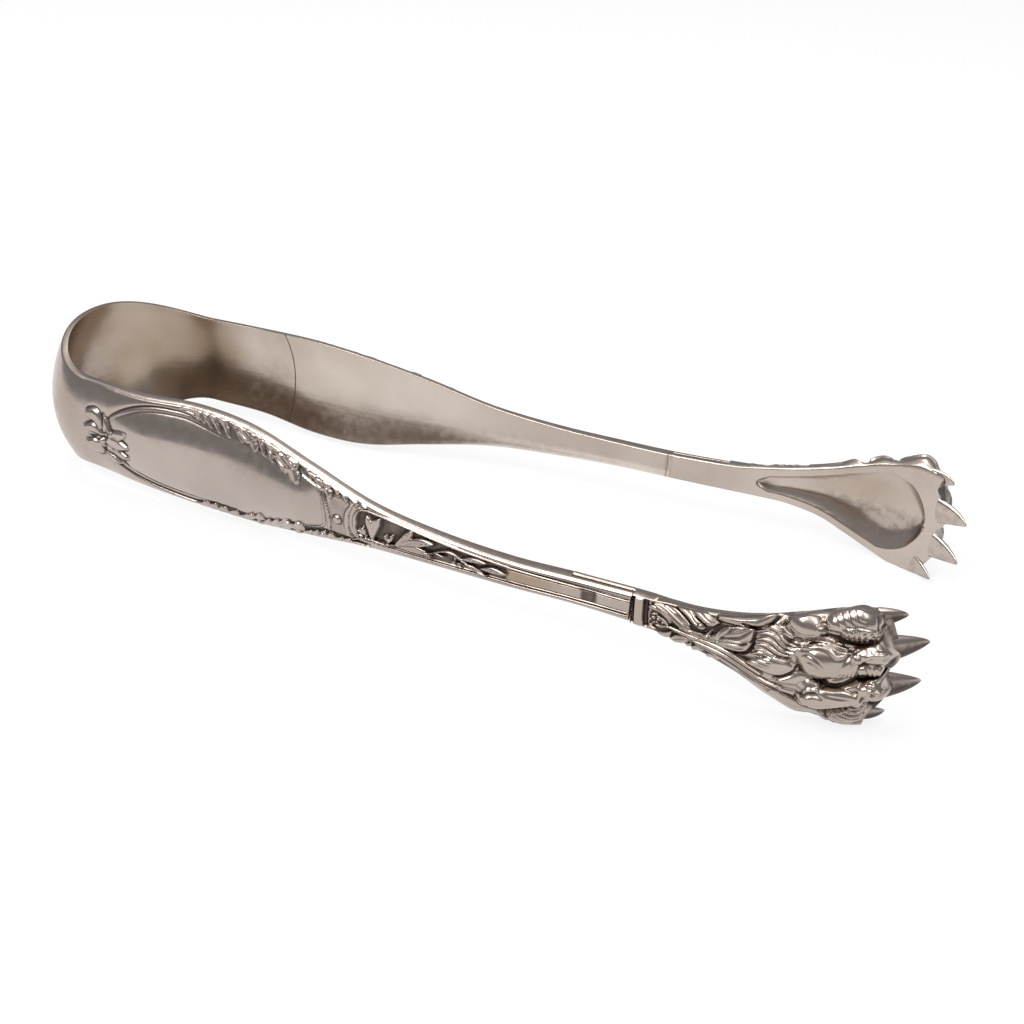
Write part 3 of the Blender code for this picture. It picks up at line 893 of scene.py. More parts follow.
@dataclass
class ArmRelief:
    """The chasing on the arm's outer face: cartouche, laurel, sprig and reeds."""
    strip: Strip = field(default_factory=Strip)
    rim_top: Points = ((18.6, 3.2), (19.2, 4.0), (20.5, 5.0), (22.5, 6.1), (25, 7.0), (28, 7.6),
                       (31, 7.8), (34, 7.8), (36, 7.45))
    rim_top_inner: Points = ((20.6, 4.1), (22.5, 5.1), (25, 6.1), (28, 6.75), (31, 7.0),
                             (34, 7.05), (37, 6.7), (40, 6.25), (43, 6.0))
    rim_bottom: Points = ((19.2, -4.4), (21, -5.2), (23, -6.1), (26, -6.95), (29, -7.55),
                          (32, -8.0), (34.5, -8.1), (36, -7.7), (38, -7.1), (41, -6.85),
                          (43, -6.7))
    rim_bottom_inner: Points = ((21, -3.3), (21.8, -4.5), (24, -5.4), (26, -6.0), (29, -6.65),
                                (33, -7.1), (36, -7.1))
    panel_at: tuple[float, ...] = (18, 21, 25, 30, 36, 45, 52, 58, 62)
    panel_top: tuple[float, ...] = (3.0, 4.3, 6.1, 6.95, 6.9, 6.2, 5.0, 4.4, 3.0)
    panel_bottom: tuple[float, ...] = (-3.0, -3.4, -5.7, -6.8, -7.2, -6.9, -5.1, -3.6, -2.6)
    top_ground: Points = ((36, 7.2), (40, 6.5), (45, 6.25), (50, 5.7), (54, 4.7), (57.4, 5.0),
                          (60.4, 4.2), (62, 3.6), (66, 3.1), (70, 3.1))
    bottom_ground: Points = ((36, -7.5), (41, -6.9), (45, -6.9), (49, -6.2), (52, -5.1),
                             (55, -4.2), (58, -3.7), (61, -2.9), (66, -2.7), (70, -2.7))
    top_tips: Points = ((37.7, 7.2), (39.2, 6.8), (40.8, 6.5), (42.8, 6.3), (45.4, 6.2),
                        (50.0, 5.5), (51.8, 5.0), (53.9, 4.4), (59.3, 4.9), (61.3, 3.9),
                        (64.6, 3.7), (66.2, 3.2), (68.0, 3.2), (69.6, 3.35))
    bottom_tips: Points = ((37.0, -7.3), (38.6, -7.2), (40.6, -7.1), (42.9, -7.0), (45.4, -6.9),
                           (50.0, -5.9), (52.0, -5.0), (54.1, -4.0), (58.7, -4.4), (60.1, -3.8),
                           (61.7, -3.2), (65.0, -3.4), (66.6, -2.95), (68.4, -3.1), (70.4, -3.2))

    def apply(self, relief: Relief) -> None:
        """Work the whole arm's chasing into a relief over along and up.

        Args:
            relief: The field that is worked.
        """
        self._panel(relief)
        self._rim(relief)
        self._knot(relief)
        self._laurel(relief)
        self._panel_end(relief)
        self._sprig(relief)
        self._reeds(relief)

    def _panel(self, relief: Relief) -> None:
        """The cushion of the plain panel between its borders.

        Args:
            relief: The field that is worked.
        """
        top, bottom = (Curve(self.panel_at, sizes).at(relief.x)
                       for sizes in (self.panel_top, self.panel_bottom))
        line = (2 * relief.y - top - bottom) / (top - bottom)
        reach = plateau(relief.x, 17, 27, 56, 61.5)
        relief.height += 0.75 * reach * np.maximum(1 - line ** 2, 0)

    def _rim(self, relief: Relief) -> None:
        """The plain rolled border and the two grooves round the panel's left part.

        Args:
            relief: The field that is worked.
        """
        half = self.strip.size("width", relief.x) / 2
        shift = SHIFT.at(relief.x)
        reach = plateau(relief.x, 14, 20, 36, 44)
        for border, sign in ((self.rim_top, 1), (self.rim_bottom, -1)):
            inner = sign * (Curve(*zip(*border)).at(relief.x) + shift)
            across = (sign * (relief.y + shift) - inner) / np.maximum(half - inner, 0.4)
            roll = np.sqrt(np.clip(1 - (2 * across - 1) ** 2, 0, 1))
            relief.height += 0.34 * reach * roll * (across > 0)
        for line, width, deep in ((self.rim_top, 0.60, 0.20), (self.rim_top_inner, 0.40, 0.09),
                                  (self.rim_bottom, 0.72, 0.28),
                                  (self.rim_bottom_inner, 0.42, 0.14)):
            relief.draw(groove(line, width, deep, swell=0.5, start=0.4, end=0.3, edge=0.9))

    def _knot(self, relief: Relief) -> None:
        """The ribbon knot with folded lobes on the left and pointed petals on the right.

        Args:
            relief: The field that is worked.
        """
        for points, width, height, swell, start, end, rib in KNOT_LOBES:
            relief.draw(Stroke(points, width, height, swell=swell, start=start, end=end, rib=rib,
                               edge=0.6, spread=0.26, cut=0.14))
        relief.draw(bead(17.5, -0.8, 1.2, 0.80, cut=0.2, spread=0.2))
        for points, width in KNOT_CUTS:
            relief.draw(groove(points, width, 0.26, swell=0.5, start=0.3, end=0.2))

    def _laurel(self, relief: Relief) -> None:
        """Leaves, caps and a berry along both edges of the panel, on a dark ground.

        Args:
            relief: The field that is worked.
        """
        half = self.strip.size("width", relief.x) / 2
        real = relief.y + SHIFT.at(relief.x)
        for line, sign, sunk, dark in ((self.top_ground, 1, 0.0, 0.45),
                                       (self.bottom_ground, -1, 0.16, 0.85)):
            inner = sign * Curve(*zip(*line)).at(relief.x)
            ground = (smooth_step(sign * relief.y - inner, -0.1, 0.12)
                      * (1 - smooth_step(sign * real - half, -0.95, -0.7))
                      * plateau(relief.x, 35.8, 36.8, 69.6, 70.4))
            relief.height -= sunk * ground
            relief.darken(dark * ground)
        for tips, sign, long, rise, wide, lean in ((self.top_tips, 1, 5.0, 3.1, 1.30, 0.16),
                                                   (self.bottom_tips, -1, 2.6, 1.8, 1.45, 0.0)):
            for x, y in reversed(tips):
                small = 1.0 if x < 57.5 else 0.72
                where = np.array(x - long * small)
                edge = float(self.strip.size("width", where) / 2 - sign * SHIFT.at(where)) - 0.7
                base = (x - long * small, sign * min(abs(y) + rise * small, edge))
                relief.draw(leaf(*base, x, y, wide * (0.5 + 0.5 * small), 0.40, 0.20 * sign, 0.02,
                                 lean))
        for x, y, size in ((48.4, 5.7, 1.0), (57.0, 3.6, 1.25), (63.2, 3.2, 0.85)):
            for sign, long, rise, lean in ((1, 4.4, 2.5, 0.18), (-1, 2.2, 1.4, 0.0)):
                for aside, lower, wide in ((-0.4, 1.5, 1.4), (-1.9, 0.7, 1.4), (0.0, 0.0, 1.7)):
                    tip = np.array((x + aside * size, sign * (y + lower * size)))
                    for share, broad, tall in ((1.0, 0.8, 0.42), (0.5, 1.0, 0.55)):
                        base = tip + np.array((-long, sign * rise)) * size * share
                        edge = float(self.strip.size("width", base[0]) / 2) - 0.5
                        base[1] = sign * min(abs(base[1]), edge)
                        relief.draw(leaf(*base, *tip, wide * size * broad, tall, 0.14 * sign, 0.02,
                                         lean))
        relief.draw(Stroke(((54.9, 7.1), (55.7, 6.95), (56.4, 6.75)), 1.1, 0.6, Kind.BEAD,
                           swell=0.5, start=0.4, end=0.3))

    def _panel_end(self, relief: Relief) -> None:
        """The double ridge, the flat with its jewel and the parenthesis ridges.

        Args:
            relief: The field that is worked.
        """
        flat = plateau(relief.x, 62.7, 63.1, 65.8, 66.3)
        relief.darken(0.42 * flat * (np.abs(relief.y - 0.2) < 2.9))
        corner = plateau(relief.x, 56.5, 58, 61, 61.6)
        relief.darken(0.5 * corner * smooth_step(relief.y, 4.6 - 0.3 * (relief.x - 57.5), 5.0))
        ridge = ((57.4, 5.1), (59, 4.6), (60.3, 4.1), (61.1, 3.3), (61.55, 2.2), (61.8, 0.8),
                 (61.85, -0.6), (61.75, -1.8), (61.4, -2.4), (60.3, -2.9), (58.8, -3.4),
                 (57.4, -3.8))
        outer = ((61.6, 3.6), (62.15, 2.3), (62.55, 0.6), (62.75, -0.9), (62.7, -2.6))
        open_end = ((66.95, 3.1), (66.35, 1.9), (66.15, 0.5), (66.2, -0.8), (66.6, -1.8),
                    (67.15, -2.3))
        frame_end = ((69.6, 3.0), (68.5, 2.75), (67.9, 2.1), (67.55, 1.0), (67.55, -0.2),
                     (67.75, -1.0), (68.1, -1.7))
        for line, width, tall, edge in ((ridge, 0.36, 0.24, 0.6), (outer, 0.50, 0.32, 0.9),
                                        (open_end, 0.66, 0.38, 0.95),
                                        (frame_end, 0.42, 0.32, 0.95)):
            relief.draw(Stroke(line, width, tall, Kind.RIDGE, swell=0.5, start=0.6, end=0.6,
                               edge=edge, cut=0.14))
        relief.draw(bead(64.4, -0.1, 1.5, 0.42, cut=0.26, edge=0.95))

    def _sprig(self, relief: Relief) -> None:
        """The sunk panel with its running sprig of leaves and buds.

        Args:
            relief: The field that is worked.
        """
        top = Curve((67.5, 70, 75, 80, 85, 90, 95), (2.7, 2.8, 2.5, 2.05, 1.6, 1.35, 1.1))
        bottom = Curve((67.5, 70, 75, 80, 85, 90, 95), (-1.5, -1.9, -1.75, -1.5, -1.3, -1.15, -1.0))
        inside = (plateau(relief.x, 67.6, 68.2, 93.2, 94.4)
                  * smooth_step(top.at(relief.x) - relief.y, 0, 0.25)
                  * smooth_step(relief.y - bottom.at(relief.x), 0, 0.25))
        relief.height -= 0.30 * inside
        relief.darken(0.85 * inside)
        relief.draw(*SPRIG)
        for x, y in SPRIG_PITS:
            relief.draw(groove(((x, y),), 0.26, 0.12))

    def _reeds(self, relief: Relief) -> None:
        """Fine bright reeds between dark lines down both sides of the narrow part.

        Args:
            relief: The field that is worked.
        """
        far = (67.8, 70, 75, 80, 85, 90, 98, 106, 112)
        for ys in ((3.05, 3.0, 2.72, 2.28, 1.80, 1.50, 1.18, 1.12, 1.15),
                   (-2.1, -2.1, -1.98, -1.72, -1.50, -1.32, -1.25, -1.2, -1.2)):
            relief.draw(Stroke(tuple(zip(far, ys)), 0.28, 0.16, Kind.RIDGE, swell=0.5,
                               start=0.4, end=0.9, cut=0.14, edge=0.9))
        plain = (94.0, 98.0, 103.0, 108.0, 112.0)
        for ys in ((0.95, 0.95, 0.95, 0.97, 1.0), (-0.72, -0.72, -0.7, -0.68, -0.65),
                   (1.45, 1.42, 1.40, 1.42, 1.45), (-1.12, -1.1, -1.08, -1.05, -1.05)):
            relief.draw(groove(tuple(zip(plain, ys)), 0.30, 0.16, swell=0.5, start=0.7, end=0.7,
                               edge=0.95))
        punch = (plateau(relief.x, 104.85, 105.1, 107.4, 107.65)
                 * plateau(relief.y, -0.75, -0.5, 1.1, 1.35))
        relief.height -= 0.14 * punch
        relief.darken(0.8 * punch)
        relief.brown += 0.85 * plateau(relief.x, 92.5, 95, 99, 103) * (np.abs(relief.y - 0.1) < 0.9)


@dataclass
class BowHalf:
    """Half of the sprung bow, from the crown's middle to the arm's solder joint.

    It bends between the two turns from the crown, in degrees, that bend gives.
    """
    side: Side
    seam: float = 29.698
    bend: tuple[float, float] = (22, 68)
    bow: BowPlan = field(default_factory=BowPlan)
    strip: Strip = field(default_factory=Strip)
    section: Section = field(default_factory=lambda: Section(124, 26))

    def build(self, finish: bpy.types.Material) -> bpy.types.Object:
        """The half bow, blended between the crown and its arm.

        Args:
            finish: The silver it is made of.

        Returns:
            The finished piece.
        """
        path = bow_path(self.bow, self.strip, self.seam)
        points, marks = sweep(path, self.section, ArmRelief(self.strip))
        inner = self.section.layout()["side"] < 0
        stain = 0.95 - 0.50 * smooth_step(path.along, 13, 23)[:, None]
        # The crown's outside is made browner and a little darker the more it faces back along the tongs.
        crown = 0.95 * np.clip(-path.out[:, 0], 0, 1)[:, None]
        marks["tarnish"] = np.where(inner[None, :], stain, marks["tarnish"] + crown)
        seam = bell(path.along, BOW_JOINT, SEAM_WIDTH)[:, None]
        marks["patina"] = np.where(inner[None, :], 0.9 * seam, marks["patina"] + 0.19 * crown)
        # Painted sheen: the inner face is made lighter past the crown.
        marks["painted_sheen"] = np.where(inner[None, :], 0.75 * smooth_step(path.along, 13, 22)[:, None], 0)
        piece = tube(f"{self.side.word}_bow_half", LAY.place(self.side, points), marks)
        piece.data.materials.append(finish)
        start, end = (self._edge(turn) for turn in self.bend)
        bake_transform(piece, "bow", f"{self.side.word}_side", start=start, end=end)
        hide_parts(f"{self.side.word}_bow_flank", "bow_crown")
        return piece

    def _edge(self, degrees: float) -> tuple[float, float, float]:
        """The bow's edge line at a turn from the crown, in the frame.

        Args:
            degrees: The turn from the crown.

        Returns:
            The point, in metres.
        """
        turn, power = math.radians(degrees), 2 / self.bow.squareness
        spot = np.array([self.bow.depth * (1 - math.cos(turn) ** power),
                         self.bow.spacing / 2 * math.sin(turn) ** power, 0.0])
        return tuple(float(v) for v in LAY.place(self.side, spot))


def sweep(path: Path, section: Section, art: ArmRelief) -> tuple[np.ndarray, dict[str, np.ndarray]]:
    """The net of a strip with its chasing, which fades out just before the edges.

    Args:
        path: The columns.
        section: The lines round each column.
        art: What is chased on the outer face.

    Returns:
        Points along, across and up, and the marks for the finish.
    """
    plan = section.layout()
    wall = path.wall[:, None] / 2
    corner = 0.6 + 0.4 * smooth_step(path.along, 56, 70)[:, None]
    up = plan["share"] * path.half[:, None] + plan["inset"] * corner
    face = np.nonzero(plan["follows"] == np.arange(len(plan["follows"])))[0][:section.outer_lines]
    heights = up[:, face]
    along = np.repeat(path.along[:, None], len(face), 1)
    relief = Relief(along, heights - SHIFT.at(along))
    art.apply(relief)
    relief.settle()
    fade = smooth_step(path.half[:, None] - section.corner * corner - np.abs(heights), -0.05, 0.12)
    lift = (relief.height * fade)[:, plan["follows"]] * plan["reach"]
    depth = plan["side"] * wall + plan["drop"] * corner + lift
    points = path.point(up, depth)
    patina = (relief.patina() * fade)[:, plan["follows"]] * plan["reach"]
    tarnish = (relief.brown * fade)[:, plan["follows"]] * plan["reach"]
    return points, {"patina": patina, "tarnish": tarnish}


@dataclass
class Arm:
    """A struck arm from the bow's joint to the rounded end that laps over the paw."""
    side: Side
    start: float = 29.702
    chased_from: float = 36.0
    chased_to: float = 95.0
    chased_columns: int = 474
    solder: float = 102.5
    lap: float = 103.0
    end: float = 112.3
    strip: Strip = field(default_factory=Strip)
    section: Section = field(default_factory=lambda: Section(136, 14))

    def build(self, finish: bpy.types.Material) -> bpy.types.Object:
        """The arm, riding on its side of the tongs.

        Args:
            finish: The silver it is made of.

        Returns:
            The finished piece.
        """
        along = np.concatenate([
            eased_columns(self.start, self.chased_from, 0.20)[:-2],
            np.linspace(self.chased_from, self.chased_to, self.chased_columns),
            eased_columns(self.chased_to, self.lap, 0.25)[2:],
            eased_columns(self.lap + 0.05, self.end, 0.25)[1:]])
        path = strip_path(self.strip, along)
        points, marks = sweep(path, self.section, ArmRelief(self.strip))
        plan = self.section.layout()
        lapped = along >= self.lap + 0.04
        inner = plan["side"] < 0
        up = plan["share"] * path.half[:, None] + plan["inset"]
        depth = np.where(inner, 0.12 + plan["drop"] * 0.5, 0) * np.ones_like(up)
        raised = path.point(up, depth)
        points = np.where((lapped[:, None] & inner)[..., None], raised, points)
        near = along[:, None]
        stain = 0.15 + 0.30 * (1 - smooth_step(near, 34, 58))
        stain = stain + 0.75 * bell(near, self.solder - 0.15, 0.30)
        # Painted reflection: the lower part of the inner face is left untarnished and lighter.
        low = smooth_step(-plan["share"], 0.30, 0.75)
        marks["tarnish"] = np.where(inner, stain * (1 - 0.9 * low), marks["tarnish"])
        seam = 0.9 * bell(near, BOW_JOINT, SEAM_WIDTH) + 0.5 * bell(near, self.solder, 0.22)
        marks["patina"] = np.where(inner, seam, marks["patina"])
        # Painted sheen on the inner face, strongest near the bow.
        painted_sheen = 0.75 - 0.60 * smooth_step(near, 50, 95)
        marks["painted_sheen"] = np.where(inner, painted_sheen + (1 - painted_sheen) * low, 0)
        piece = tube(f"{self.side.word}_arm_chased", LAY.place(self.side, points), marks)
        piece.data.materials.append(finish)
        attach(piece, f"{self.side.word}_side")
        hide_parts(f"{self.side.word}_arm")
        return piece


@dataclass(frozen=True)
class Toe:
    """A rounded toe from knuckle to cuff, and the points and sizes of its claw."""
    knuckle: tuple[float, float, float]
    cuff: tuple[float, float, float]
    radius: float
    claw: tuple[tuple[float, float, float], ...]
    claw_radius: float


@dataclass(frozen=True)
class PawForm(Stations):
    """The paw's form: stations of its outline and domed back, its toes and its hollow."""
    places: tuple[float, ...] = (104.0, 114.0, 118.0, 122.5, 128.0, 132.5, 136.0, 141.0, 144.5,
                                 147.5)
    top: tuple[float, ...] = (2.3, 3.0, 3.5, 4.3, 5.8, 7.5, 8.9, 10.5, 10.6, 10.0)
    bottom: tuple[float, ...] = (-1.9, -1.6, -1.8, -2.1, -3.2, -5.0, -6.3, -7.6, -7.5, -6.3)
    rim: tuple[float, ...] = (20.0, 20.5, 21.3, 22.1, 22.7, 22.8, 22.5, 21.3, 20.1, 18.9)
    edge: tuple[float, ...] = (2.2, 2.0, 1.3, 1.0, 0.9, 0.9, 0.9, 1.0, 1.0, 0.6)
    dome: tuple[float, ...] = (2.4, 2.3, 2.3, 2.7, 3.3, 3.8, 3.9, 3.9, 3.2, 1.4)
    squareness: tuple[float, ...] = (2.0, 2.0, 4.0, 3.2, 2.5, 2.2, 2.2, 2.2, 2.5, 3.0)
    front_from: float = 128.0
    front_to: float = 147.5
    front_up: tuple[float, ...] = (-7.6, -7.1, -6.3, -4.6, -3.2, -1.2, 0.5, 1.6, 2.6, 4.6, 6.3, 7.6,
                                   8.8, 10.0, 10.7)
    front_along: tuple[float, ...] = (141.6, 143.4, 144.7, 144.9, 146.2, 147.2, 147.1, 146.0, 146.9,
                                      147.3, 146.6, 144.8, 145.5, 144.9, 143.4)
    toes: tuple[Toe, ...] = (
        Toe((135.8, 23.2, 7.0), (142.3, 22.4, 8.7), 2.3,
            ((143.0, 21.1, 9.2), (145.6, 20.3, 10.1), (146.9, 19.2, 9.9)), 1.45),
        Toe((138.3, 23.6, 3.4), (144.4, 22.0, 5.2), 3.0,
            ((144.8, 20.4, 4.6), (148.3, 18.4, 5.3), (150.1, 16.4, 5.2)), 2.0),
        Toe((138.2, 24.1, -1.9), (144.9, 21.8, 0.1), 2.45,
            ((145.2, 20.1, -1.1), (148.6, 18.1, -1.0), (150.3, 16.0, -1.2)), 2.0),
        Toe((140.6, 22.3, -4.7), (143.1, 21.1, -4.6), 2.0,
            ((143.0, 20.6, -5.4), (145.8, 19.8, -6.1), (147.0, 17.9, -6.1)), 1.45))
    bump_at: tuple[float, ...] = (129.8, 131.9, 133.4, 135.8, 138.2, 141.8, 144.2, 146.0)
    bump: tuple[float, ...] = (0.0, 0.35, -0.1, 0.2, -0.1, 0.75, -0.2, 0.0)
    dip_at: tuple[float, ...] = (133.0, 136.4, 138.6, 140.6, 142.6, 146.0)
    dip: tuple[float, ...] = (0.0, -0.1, 0.65, 0.55, 0.0, 0.0)
    toe_depth: float = 0.9
    cheek: float = 0.9
    blend: float = 0.9
    sunk: float = 0.22
    hollow_start: float = 117.4
    hollow_widest: float = 137.7
    hollow_end: float = 144.0
    hollow_rim: float = 1.3
    hollow_depth: float = 1.8

    def back(self, along: np.ndarray, up: np.ndarray, line: np.ndarray) -> np.ndarray:
        """How far out the domed back with its toes lies.

        Args:
            along: Places along the tongs.
            up: Heights from the middle line.
            line: -1 to 1 from the lower edge to the upper.

        Returns:
            Distances out from the middle plane.
        """
        rim, edge, dome = (self.size(name, along) for name in ("rim", "edge", "dome"))
        swell = np.maximum(1 - np.abs(line) ** self.size("squareness", along), 0) ** 0.6
        lower = self.toe_depth * smooth_step(along, 132.0, 137.5)
        out = rim + edge + (dome - edge - lower) * swell
        for toe in self.toes:
            first, second = np.array(toe.knuckle), np.array(toe.cuff)
            run = (second - first)[[0, 2]]
            share = np.clip(((along - first[0]) * run[0] + (up - first[2]) * run[1])
                            / (run @ run), 0, 1)
            centre = [first[k] + share * (second[k] - first[k]) for k in range(3)]
            away = np.hypot(along - centre[0], up - centre[2])
            round_share = np.maximum(1 - (away / toe.radius) ** 2.3, 0) ** 0.5
            over = centre[1] - self.cheek + (toe.radius + self.cheek) * round_share
            near = np.maximum(self.blend - np.abs(out - over), 0) / self.blend
            joined = np.maximum(out, over) + near * near * self.blend / 4
            out = np.where((away < toe.radius) & (np.abs(line) < 0.999), joined, out)
        return out - self.sunk * smooth_step(along, 115.0, 118.0) * (np.abs(line) < 0.999)

    def hollow(self, along: np.ndarray, up: np.ndarray) -> np.ndarray:
        """How deep the pear-shaped hollow is in the flat inner face.

        Args:
            along: Places along the tongs.
            up: Heights from the middle line.

        Returns:
            Depths into the face, 0 outside the hollow.
        """
        at = np.minimum(along, self.hollow_widest)
        top, bottom = self.size("top", at), self.size("bottom", at)
        half = (top - bottom) / 2 - self.hollow_rim
        past = np.clip((along - self.hollow_widest) / (self.hollow_end - self.hollow_widest), 0, 1)
        half = np.maximum(half * np.sqrt(1 - past ** 2), 1e-3)
        round_start = np.sqrt(np.clip((along - self.hollow_start) / 2.0, 0, 1))
        offset = np.abs(up - (top + bottom) / 2) / (half * np.maximum(round_start, 1e-3))
        depth = 0.3 + 0.7 * smooth_step(along, self.hollow_start, self.hollow_widest)
        inside = (along > self.hollow_start) & (along < self.hollow_end) & (offset < 1)
        return np.where(inside, self.hollow_depth * depth
                        * np.maximum(1 - offset ** 2, 0) ** 0.95, 0)


# The paw's broad forms: points, width, height, swell, start and end.
MASSES: tuple = (
    (((134.5, 8.0), (136.0, 7.8), (137.4, 7.6)), 3.8, 0.60, 0.45, 0.8, 0.6),
    (((139.2, 9.3), (141.2, 9.7), (143.2, 9.8)), 3.4, 0.60, 0.5, 0.7, 0.8),
    (((141.0, 8.1), (144.2, 8.4)), 2.3, 0.30, 0.5, 0.8, 0.7),
    (((136.6, 4.0), (138.9, 3.8), (141.6, 3.9)), 6.2, 0.60, 0.4, 0.7, 0.7),
    (((142.8, 5.8), (144.6, 6.4), (146.0, 6.8)), 3.0, 0.50, 0.5, 0.6, 0.7),
    (((143.9, 3.9), (145.4, 3.9)), 2.3, 0.40, 0.5, 0.8, 0.8),
    (((144.4, 0.2), (145.4, 1.0), (146.4, 1.5)), 2.6, 0.45, 0.5, 0.7, 0.7),
    (((141.6, -4.4), (144.2, -4.2)), 3.7, 0.40, 0.5, 0.7, 0.8),
    (((138.2, -1.8), (140.6, -1.9), (143.4, -1.2)), 4.0, 0.55, 0.45, 0.6, 0.5),
    (((134.2, -0.5), (136.6, 0.1), (138.6, -0.2)), 2.5, 0.42, 0.6, 0.3, 0.5),
    (((129.6, 0.8), (132.4, 1.25), (135.4, 1.7)), 2.9, 0.46, 0.75, 0.1, 0.6),
)

# Soft valleys between them: points, width, depth and how dark they are.
VALLEYS: tuple = (
    (((133.0, 5.9), (134.6, 5.3), (136.4, 5.7), (137.8, 6.6), (139.0, 7.2), (141.0, 7.0),
        (143.0, 7.2), (145.4, 8.0)), 1.3, 0.32, 0.40),
    (((135.8, 2.0), (137.2, 1.45), (138.4, 0.8), (139.6, 0.3), (140.8, 0.2), (142.2, 0.9),
        (143.6, 1.8), (146.2, 2.6)), 1.3, 0.34, 0.45),
    (((143.4, 1.6), (144.6, 2.1), (146.4, 2.9)), 1.3, 0.30, 0.70),
    (((137.2, -3.9), (139.6, -4.3), (141.6, -3.9), (143.0, -2.9), (144.2, -2.0)), 1.3, 0.50, 0.6),
    (((133.3, -0.45), (134.3, 0.0), (135.3, 0.7), (135.9, 2.3), (135.4, 3.6)), 0.9, 0.24, 0.3),
    (((133.8, -1.7), (135.9, -2.1), (137.4, -1.5), (138.5, -1.0), (139.6, -1.3)), 0.8, 0.20, 0.3),
    # These five, at the front between the toes' tips, are darkened as painted shade.
    (((145.4, 2.5), (146.4, 3.8), (146.8, 5.6)), 2.0, 0.50, 0.9),
    (((144.8, 8.3), (147.0, 8.4)), 2.0, 0.40, 0.95),
    (((146.6, 4.4), (147.4, 2.6)), 2.2, 0.10, 0.95),
    (((144.9, -1.8), (146.2, -3.2)), 2.4, 0.35, 0.95),
    (((143.8, -6.9), (145.2, -6.2)), 1.8, 0.10, 0.8),
    (((133.2, 8.6), (133.5, 7.6), (132.9, 6.8)), 0.9, 0.30, 0.4),
)

# Fluted tongues at the neck: points, width, height, swell, start, end and lines.
TONGUES: tuple = (
    (((115.2, 2.2), (116.6, 2.35), (117.8, 1.95), (118.5, 1.35)), 0.85, 0.42, 0.6, 0.6, 0.5, 0),
    (((117.3, 3.05), (119.0, 2.95), (120.3, 2.6), (121.2, 2.3)), 0.75, 0.42, 0.6, 0.3, 0.5, 2),
    (((115.8, 2.85), (117.6, 2.6), (119.4, 2.0), (121.3, 1.4)), 1.45, 0.50, 0.8, 0.3, 0.5, 3),
    (((120.8, 3.95), (122.5, 3.95), (123.8, 3.75), (125.1, 4.1)), 1.1, 0.42, 0.6, 0.3, 0.2, 3),
    (((119.0, 3.55), (120.8, 3.45), (122.0, 2.95), (123.1, 2.8)), 0.95, 0.50, 0.7, 0.3, 0.8, 2),
    (((116.9, -1.6), (118.0, -1.1), (118.8, -0.05)), 1.0, 0.50, 0.4, 0.6, 0.2, 0),
    (((118.9, -1.6), (120.2, -0.6), (121.5, 0.1)), 1.5, 0.50, 0.4, 0.6, 0.3, 2),
    (((121.1, -1.2), (121.7, -0.6), (121.75, -0.2)), 0.6, 0.42, 0.4, 0.6, 0.2, 0),
    (((122.0, -1.4), (122.8, -0.6), (123.8, -0.25)), 0.9, 0.46, 0.5, 0.5, 0.3, 0),
    (((124.2, -1.3), (125.2, -0.7), (126.2, -0.55)), 0.8, 0.44, 0.5, 0.5, 0.3, 0),
    (((115.2, -0.9), (116.0, -0.85), (116.4, -0.7)), 0.6, 0.40, 0.5, 0.6, 0.4, 0),
    (((116.3, -0.1), (117.2, 0.0), (118.3, 0.55)), 0.42, 0.40, 0.5, 0.5, 0.6, 0),
    (((116.5, 1.35), (117.4, 1.05), (118.3, 0.6)), 0.50, 0.44, 0.5, 0.5, 0.6, 0),
    (((122.9, 1.2), (123.8, 1.9), (124.35, 3.0)), 0.62, 0.50, 0.4, 0.5, 0.1, 0),
)

# Ribs that fan out of the stem: points and width.
RIBS: tuple = (
    (((126.5, -0.55), (128.5, -1.1), (130.5, -1.7), (133.2, -2.8)), 0.55),
    (((122.5, 0.1), (125.0, -0.05), (127.5, -0.5), (130.0, -1.3), (132.0, -2.0), (134.2, -2.7)),
        0.62),
    (((121.5, 0.35), (124.5, 0.4), (127.0, 0.2), (129.5, -0.45), (132.0, -1.2), (134.6, -1.8)),
        0.66),
    (((118.2, 0.55), (120.5, 0.58), (123.0, 0.95), (125.5, 1.05), (127.6, 0.85), (129.6, 0.30),
        (131.8, -0.3)), 0.80),
)

# The curled leaf's parts: points, width, height, swell, start, end and lines.
ACANTHUS: tuple = (
    (((124.6, 2.0), (126.6, 2.9), (128.4, 3.8), (129.7, 5.1)), 2.5, 0.50, 0.6, 0.3, 0.15, 3),
    (((125.3, 2.0), (125.5, 2.8), (126.0, 3.5), (126.9, 4.3)), 0.95, 0.58, 0.45, 0.4, 0.1, 2),
    (((124.4, 1.55), (127.0, 1.9), (129.0, 2.5), (129.7, 3.3)), 1.1, 0.58, 0.6, 0.2, 0.45, 2),
    (((124.9, 4.6), (127.5, 5.35), (129.9, 6.25), (131.4, 7.1), (132.3, 7.9)), 1.35, 0.55, 0.55,
        0.4, 0.8, 2),
)

# Grooves round the curled leaf: points, width and depth.
ACANTHUS_CUTS: tuple = (
    (((127.8, 1.2), (128.8, 1.5), (129.7, 2.3), (130.0, 3.6), (129.9, 4.9)), 0.50, 0.34),
    (((128.0, 5.1), (130.0, 5.4), (131.2, 6.1), (132.3, 7.2), (132.7, 7.8)), 0.55, 0.36),
    (((134.0, 8.3), (133.8, 7.7), (133.4, 7.0)), 0.32, 0.24),
)

